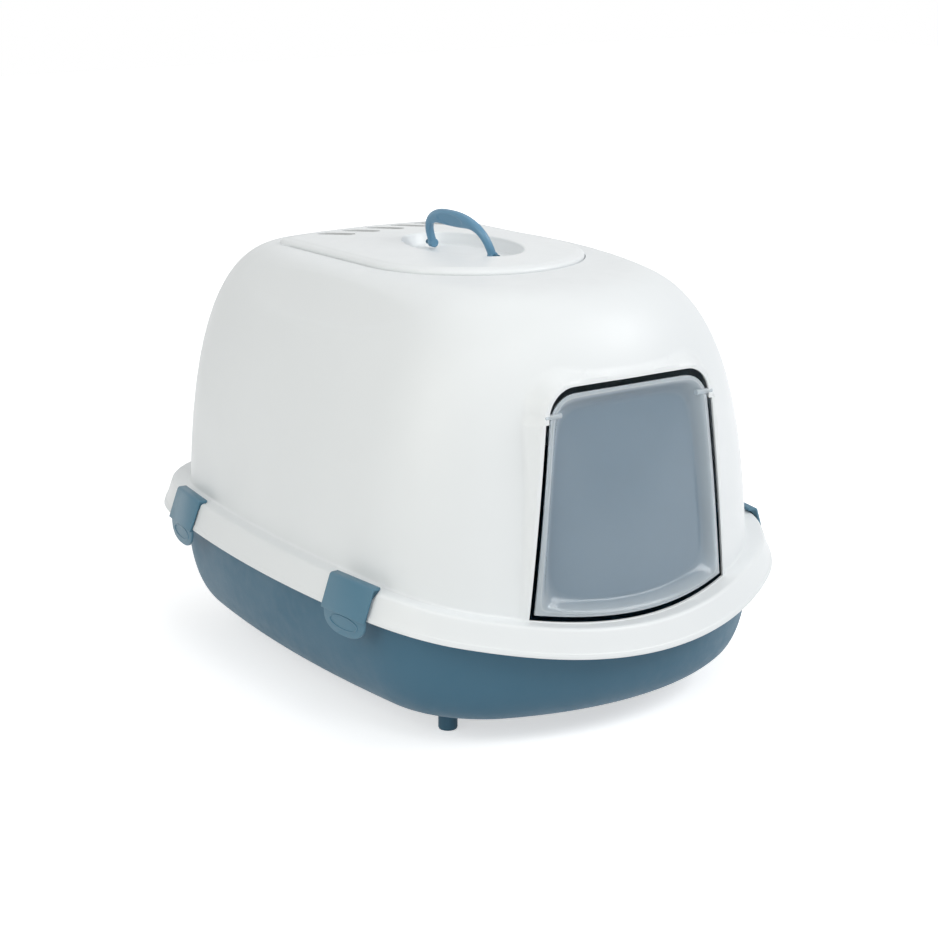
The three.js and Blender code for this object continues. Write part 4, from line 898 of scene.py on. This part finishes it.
barrel = [(barrel_r, barrel_half), (barrel_r, -barrel_half)]
web_line = np.array([[-6, -0.2], [2.2, -0.2], [2.2, 3.2], [-6, 3.2]])
clip_skins = [
    skin(rounded_ends(strip_line(), clip_half)), skin(tab_rings()), loop_skin(ridge_rings()),
    skin(round_rings(barrel, rod_place, 1, 32)), prism(web_line, barrel_half, -barrel_half, 1)]
for key in clip_frames:
    points, faces = join(*[placed(part, key) for part in clip_skins])
    make_piece(key + "_shell", points, faces, key, 35, nodes=(key,))
print("clips", len(clip_frames), "of", len(points), "points each")

# %% [markdown]
# ## Plastics
# All the parts are moulded plastic, so their materials share two effects. One is the fine
# grain that a tool leaves: a height for the bump, a slight change of tint and of gloss.
# The other is dust, which settles on faces that look up and dulls them a little.

# %% Shared effects
def new_group(name, inputs, outputs):
    """A shader node group with named sockets, its entry and its exit."""
    group = bpy.data.node_groups.new(name, "ShaderNodeTree")
    for label, kind, value in inputs:
        socket = group.interface.new_socket(label, in_out="INPUT", socket_type="NodeSocket" + kind)
        if value is not None:
            socket.default_value = value
    for label in outputs:
        group.interface.new_socket(label, in_out="OUTPUT", socket_type="NodeSocketFloat")
    entry = group.nodes.new("NodeGroupInput").outputs
    return group, entry, group.nodes.new("NodeGroupOutput").inputs


def node(tree, kind, links=(), **values):
    """A node with settings, and with its inputs linked to an output or set to a value."""
    made = tree.nodes.new("ShaderNode" + kind)
    for key, value in values.items():
        setattr(made, key, value)
    for socket, source in links:
        if isinstance(source, bpy.types.NodeSocket):
            tree.links.new(source, made.inputs[socket])
        else:
            made.inputs[socket].default_value = source
    return made


def noise(tree, vector, scale, detail, **more):
    """The value of a noise texture, finer in each of its octaves."""
    inputs = [("Vector", vector), ("Scale", scale), ("Detail", detail), *more.items()]
    return node(tree, "TexNoise", inputs).outputs[0]


def stretched(tree, value, start, end, low=0.0, high=1.0):
    """low + (high - low)(value - start)/(end - start), kept between low and high."""
    ends = [("From Min", start), ("From Max", end), ("To Min", low), ("To Max", high)]
    return node(tree, "MapRange", [("Value", value), *ends]).outputs[0]


def math_of(tree, operation, a, b):
    """One step of arithmetic on two values."""
    return node(tree, "Math", [(0, a), (1, b)], operation=operation).outputs[0]


grain, entry, leave = new_group("moulded_grain", [
    ("Vector", "Vector", None), ("Size", "Float", 900.0), ("Patch", "Float", 9.0),
    ("Contrast", "Float", 0.5)], ["Height", "Tint", "Gloss"])
broad = noise(grain, entry["Vector"], entry["Patch"], 2.0)
grain.links.new(noise(grain, entry["Vector"], entry["Size"], 3.0), leave["Height"])
grain.links.new(stretched(grain, broad, 0.3, 0.7, 0.0, entry["Contrast"]), leave["Tint"])
uneven = noise(grain, entry["Vector"], 70.0, 4.0)
grain.links.new(math_of(grain, "MULTIPLY", uneven, broad), leave["Gloss"])

dust, entry, leave = new_group(
    "settled_dust", [("Vector", "Vector", None), ("Amount", "Float", 0.2)], ["Mask"])
facing = node(dust, "SeparateXYZ", [
    (0, node(dust, "NewGeometry").outputs["Normal"])])
upward = stretched(dust, facing.outputs[2], 0.5, 1.0)
specks = noise(dust, entry["Vector"], 35.0, 8.0, Roughness=0.7)
both = math_of(dust, "MULTIPLY", upward, stretched(dust, specks, 0.42, 0.7))
dust.links.new(math_of(dust, "MULTIPLY", both, entry["Amount"]), leave["Mask"])
print("groups", grain.name, dust.name)

# %% [markdown]
# A plastic is its colour, a little darker in broad patches, with dust mixed in, a roughness
# that the grain breaks up, and the grain as bump. Uniform values sit on the shader itself.

# %% Plastics
def blend(tree, share, low, high):
    """low + (high - low) share, for colours."""
    inputs = [("Factor", share), (6, low), (7, high)]
    return node(tree, "Mix", inputs, data_type="RGBA").outputs[2]


def grained(name, colour, darker, size, rough, bump, depth=0.0004, patch=9.0):
    """A material with the grain's gloss and bump. Gives its shader, its Object coordinates
    and a tone between the two colours, to be linked."""
    material = bpy.data.materials.new(name)
    material.use_nodes = True
    tree = material.node_tree
    shader = tree.nodes["Principled BSDF"]
    place = node(tree, "TexCoord").outputs["Object"]
    inputs = [("Vector", place), ("Size", size), ("Patch", patch)]
    surface = node(tree, "Group", inputs, node_tree=grain).outputs
    relief = node(tree, "Bump", [
        ("Height", surface["Height"]), ("Strength", bump), ("Distance", depth)])
    tree.links.new(relief.outputs[0], shader.inputs["Normal"])
    tree.links.new(stretched(tree, surface["Gloss"], 0.1, 0.4, *rough), shader.inputs["Roughness"])
    return material, shader, place, blend(tree, surface["Tint"], (*colour, 1), (*darker, 1))


def plastic(name, colour, roughness, bump, size, specular=0.5, dusty=0.15, shade=0.06):
    """The darker patches are colour (1 - shade). Roughness runs from 0.05 under to 0.07 over."""
    darker = [c * (1 - shade) for c in colour]
    rough = (roughness - 0.05, roughness + 0.07)
    material, shader, place, tone = grained(name, colour, darker, size, rough, bump)
    tree = material.node_tree
    powder = node(tree, "Group", [("Vector", place), ("Amount", dusty)], node_tree=dust)
    dulled = blend(tree, powder.outputs["Mask"], tone, (0.62, 0.62, 0.6, 1))
    tree.links.new(dulled, shader.inputs["Base Color"])
    shader.inputs["Specular IOR Level"].default_value = specular
    return material


cool_white = (0.80, 0.83, 0.845)
white = plastic("white_plastic", cool_white, 0.42, 0.12, 1100, shade=0.015, dusty=0.05)
plate_white = plastic("plate_plastic", cool_white, 0.34, 0.06, 1100, shade=0.01, dusty=0.05)
petrol = plastic(
    "petrol_plastic", (0.050, 0.140, 0.212), 0.48, 0.2, 1000, specular=0.35, shade=0.1, dusty=0.06)
clip_blue = plastic(
    "clip_plastic", (0.070, 0.182, 0.262), 0.40, 0.1, 1200, shade=0.08, dusty=0.04)
handle_blue = plastic("handle_plastic", (0.110, 0.262, 0.402), 0.33, 0.06, 1200, dusty=0.04)
frame_white = plastic("frame_plastic", (0.74, 0.77, 0.78), 0.5, 0.1, 900, dusty=0.1)
looks = [(hood, white), (plate, plate_white), (tub, petrol), (bail, handle_blue)]
looks += [(bpy.data.objects[key + "_shell"], clip_blue) for key in clip_frames]
for piece, material in looks:
    piece.data.materials.clear()
    piece.data.materials.append(material)
print("dressed", [piece.name for piece, material in looks])

# %% [markdown]
# The pad in the filter is felt soaked with carbon: nearly black, quite rough, with coarse
# fibres as bump. The parts that keep their CAD mesh take the new plastics in their slots.

# %% The filter's felt, and the pieces that keep their own mesh
felt = plastic("carbon_felt", (0.022, 0.023, 0.025), 0.9, 0.8, 420, 0.2, 0.1, 0.4)
kept = {"carbon_filter": felt, "filter_frame": frame_white}
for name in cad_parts:
    if name.startswith(("foot", "hinge_rod", "handle_pin")):
        kept[name] = petrol
for name, material in kept.items():
    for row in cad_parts[name].material_slots:
        row.material = material
print("kept CAD meshes", sorted(kept))

# %% [markdown]
# The flap is clear plastic with a smoky tint. Half of what meets it passes through, and
# the rest is scattered in the sheet, so it looks milky in front of the dark inside. Its
# flange is painted paler than the dish, with painted highlights on the cut edge and on the
# bead, where light gathers: a number on each point, the distance in from the edge, sets how much is
# painted.

# %% The flap's clear plastic, with its painted highlight
# The last colour is the painted highlight, mixed in at the flap's cut edge, on its bead and over
# its flange.
smoke, dark_smoke, edge_highlight = (0.355, 0.465, 0.56), (0.325, 0.435, 0.53), (0.80, 0.86, 0.90, 1)
edge_range = 20.0
# How much painted highlight each share of the distance in gets: full on the cut edge and on the
# bead at 4.6, less over the flange, none from 16 in.
highlight_stops = (
    (0.0, 1.0), (0.05, 0.85), (0.19, 0.75), (0.23, 1.0), (0.27, 0.65), (0.5, 0.45), (0.8, 0.0))
clear, shader, place, tone = grained(
    "smoky_plastic", smoke, dark_smoke, 500, (0.07, 0.12), 0.03, 0.0003, 14)
tree = clear.node_tree
mark = node(tree, "Attribute", attribute_name="edge", attribute_type="GEOMETRY")
inward = math_of(tree, "DIVIDE", mark.outputs["Fac"], edge_range)
ramp = node(tree, "ValToRGB", [("Fac", inward)])
stops = ramp.color_ramp.elements
for at, pale in highlight_stops[1:-1]:
    stops.new(at).color = (pale, pale, pale, 1)
for k in (0, -1):
    at, pale = highlight_stops[k]
    stops[k].position, stops[k].color = at, (pale, pale, pale, 1)
# The painted highlight mixed into the smoky tint.
highlighted = blend(tree, ramp.outputs["Color"], tone, edge_highlight)
tree.links.new(highlighted, shader.inputs["Base Color"])
shader.inputs["Transmission Weight"].default_value = 0.5
shader.inputs["IOR"].default_value = 1.35
flap.data.materials.append(clear)
print("flap's ramp", len(stops), "stops")

# %% [markdown]
# ## The studio
# A pale floor without an edge in view and a bright surround. Rays from the camera, and
# those that glass and gloss send on, see the surround at full white, and far from the box
# the floor glows for them as well, so that it runs out into white.

# %% Floor and surround
floor_half, floor_z = 7000, -0.2
fade_start, fade_end, fade_low, fade_high = 0.6, 1.8, 0.58, 1.1


def seen_white(tree, low, high):
    """A strength of high for camera, glossy and transmission rays, and low for the rest."""
    path = node(tree, "LightPath").outputs
    seen = math_of(tree, "MAXIMUM", path["Is Camera Ray"], path["Is Glossy Ray"])
    seen = math_of(tree, "MAXIMUM", seen, path["Is Transmission Ray"])
    return stretched(tree, seen, 0.0, 1.0, low, high)


world = bpy.data.worlds.new("surround")
world.use_nodes = True
bpy.context.scene.world = world
surround = world.node_tree.nodes["Background"]
surround.inputs["Color"].default_value = (1, 1, 1, 1)
world.node_tree.links.new(seen_white(world.node_tree, 0.32, 1.0), surround.inputs["Strength"])

square = np.array([[-1, -1], [1, -1], [1, 1], [-1, 1]]) * floor_half
floor = make_piece("floor", at_height(square, floor_z), [np.array([[0, 1, 2, 3]])], None)
ground = bpy.data.materials.new("floor_white")
ground.use_nodes = True
tree = ground.node_tree
base = tree.nodes["Principled BSDF"]
for socket, value in (
        ("Base Color", (0.86, 0.87, 0.88, 1)), ("Roughness", 0.9), ("Specular IOR Level", 0.1),
        ("Emission Color", (1, 1, 1, 1))):
    base.inputs[socket].default_value = value
spot = node(tree, "TexCoord").outputs["Object"]
far = node(tree, "VectorMath", [(0, spot)], operation="LENGTH").outputs["Value"]
fade = stretched(tree, far, fade_start, fade_end, fade_low, fade_high)
glow = math_of(tree, "MULTIPLY", seen_white(tree, 0.0, 1.0), fade)
tree.links.new(glow, base.inputs["Emission Strength"])
floor.data.materials.append(ground)
print("floor", 2 * floor_half / 1000, "m wide")

# %% [markdown]
# Four soft lamps: one high on the right in front, one high behind the camera, one on the
# left and a weak one above. Each was rendered alone first, to balance their powers.

# %% Lamps
def softbox(name, place, aim, size, power, tint=(1, 1, 1)):
    """A square area lamp at place that looks at aim."""
    lamp = bpy.data.lights.new(name, "AREA")
    lamp.shape, lamp.size, lamp.energy, lamp.color = "SQUARE", size, power, tint
    away = np.array(place, float) - aim
    away /= np.linalg.norm(away)
    side = np.cross([0, 0, 1] if abs(away[2]) < 0.99 else [0, 1, 0], away)
    side /= np.linalg.norm(side)
    set_in_place(bpy.data.objects.new(name, lamp), [side, np.cross(away, side), away], place)
    print(name, power, "W")


softbox("key", (1.9, -2.2, 2.3), (0, -0.1, 0.25), 1.6, 50)
softbox("overhead", (0.1, 0.3, 2.7), (0, 0, 0.3), 2.0, 11, (0.98, 0.99, 1))
softbox("fill", (-2.6, -0.9, 1.5), (0, 0, 0.25), 1.8, 29, (1, 0.98, 0.91))
softbox("front", (-0.9, -2.5, 2.7), (0, 0, 0.3), 1.2, 17)
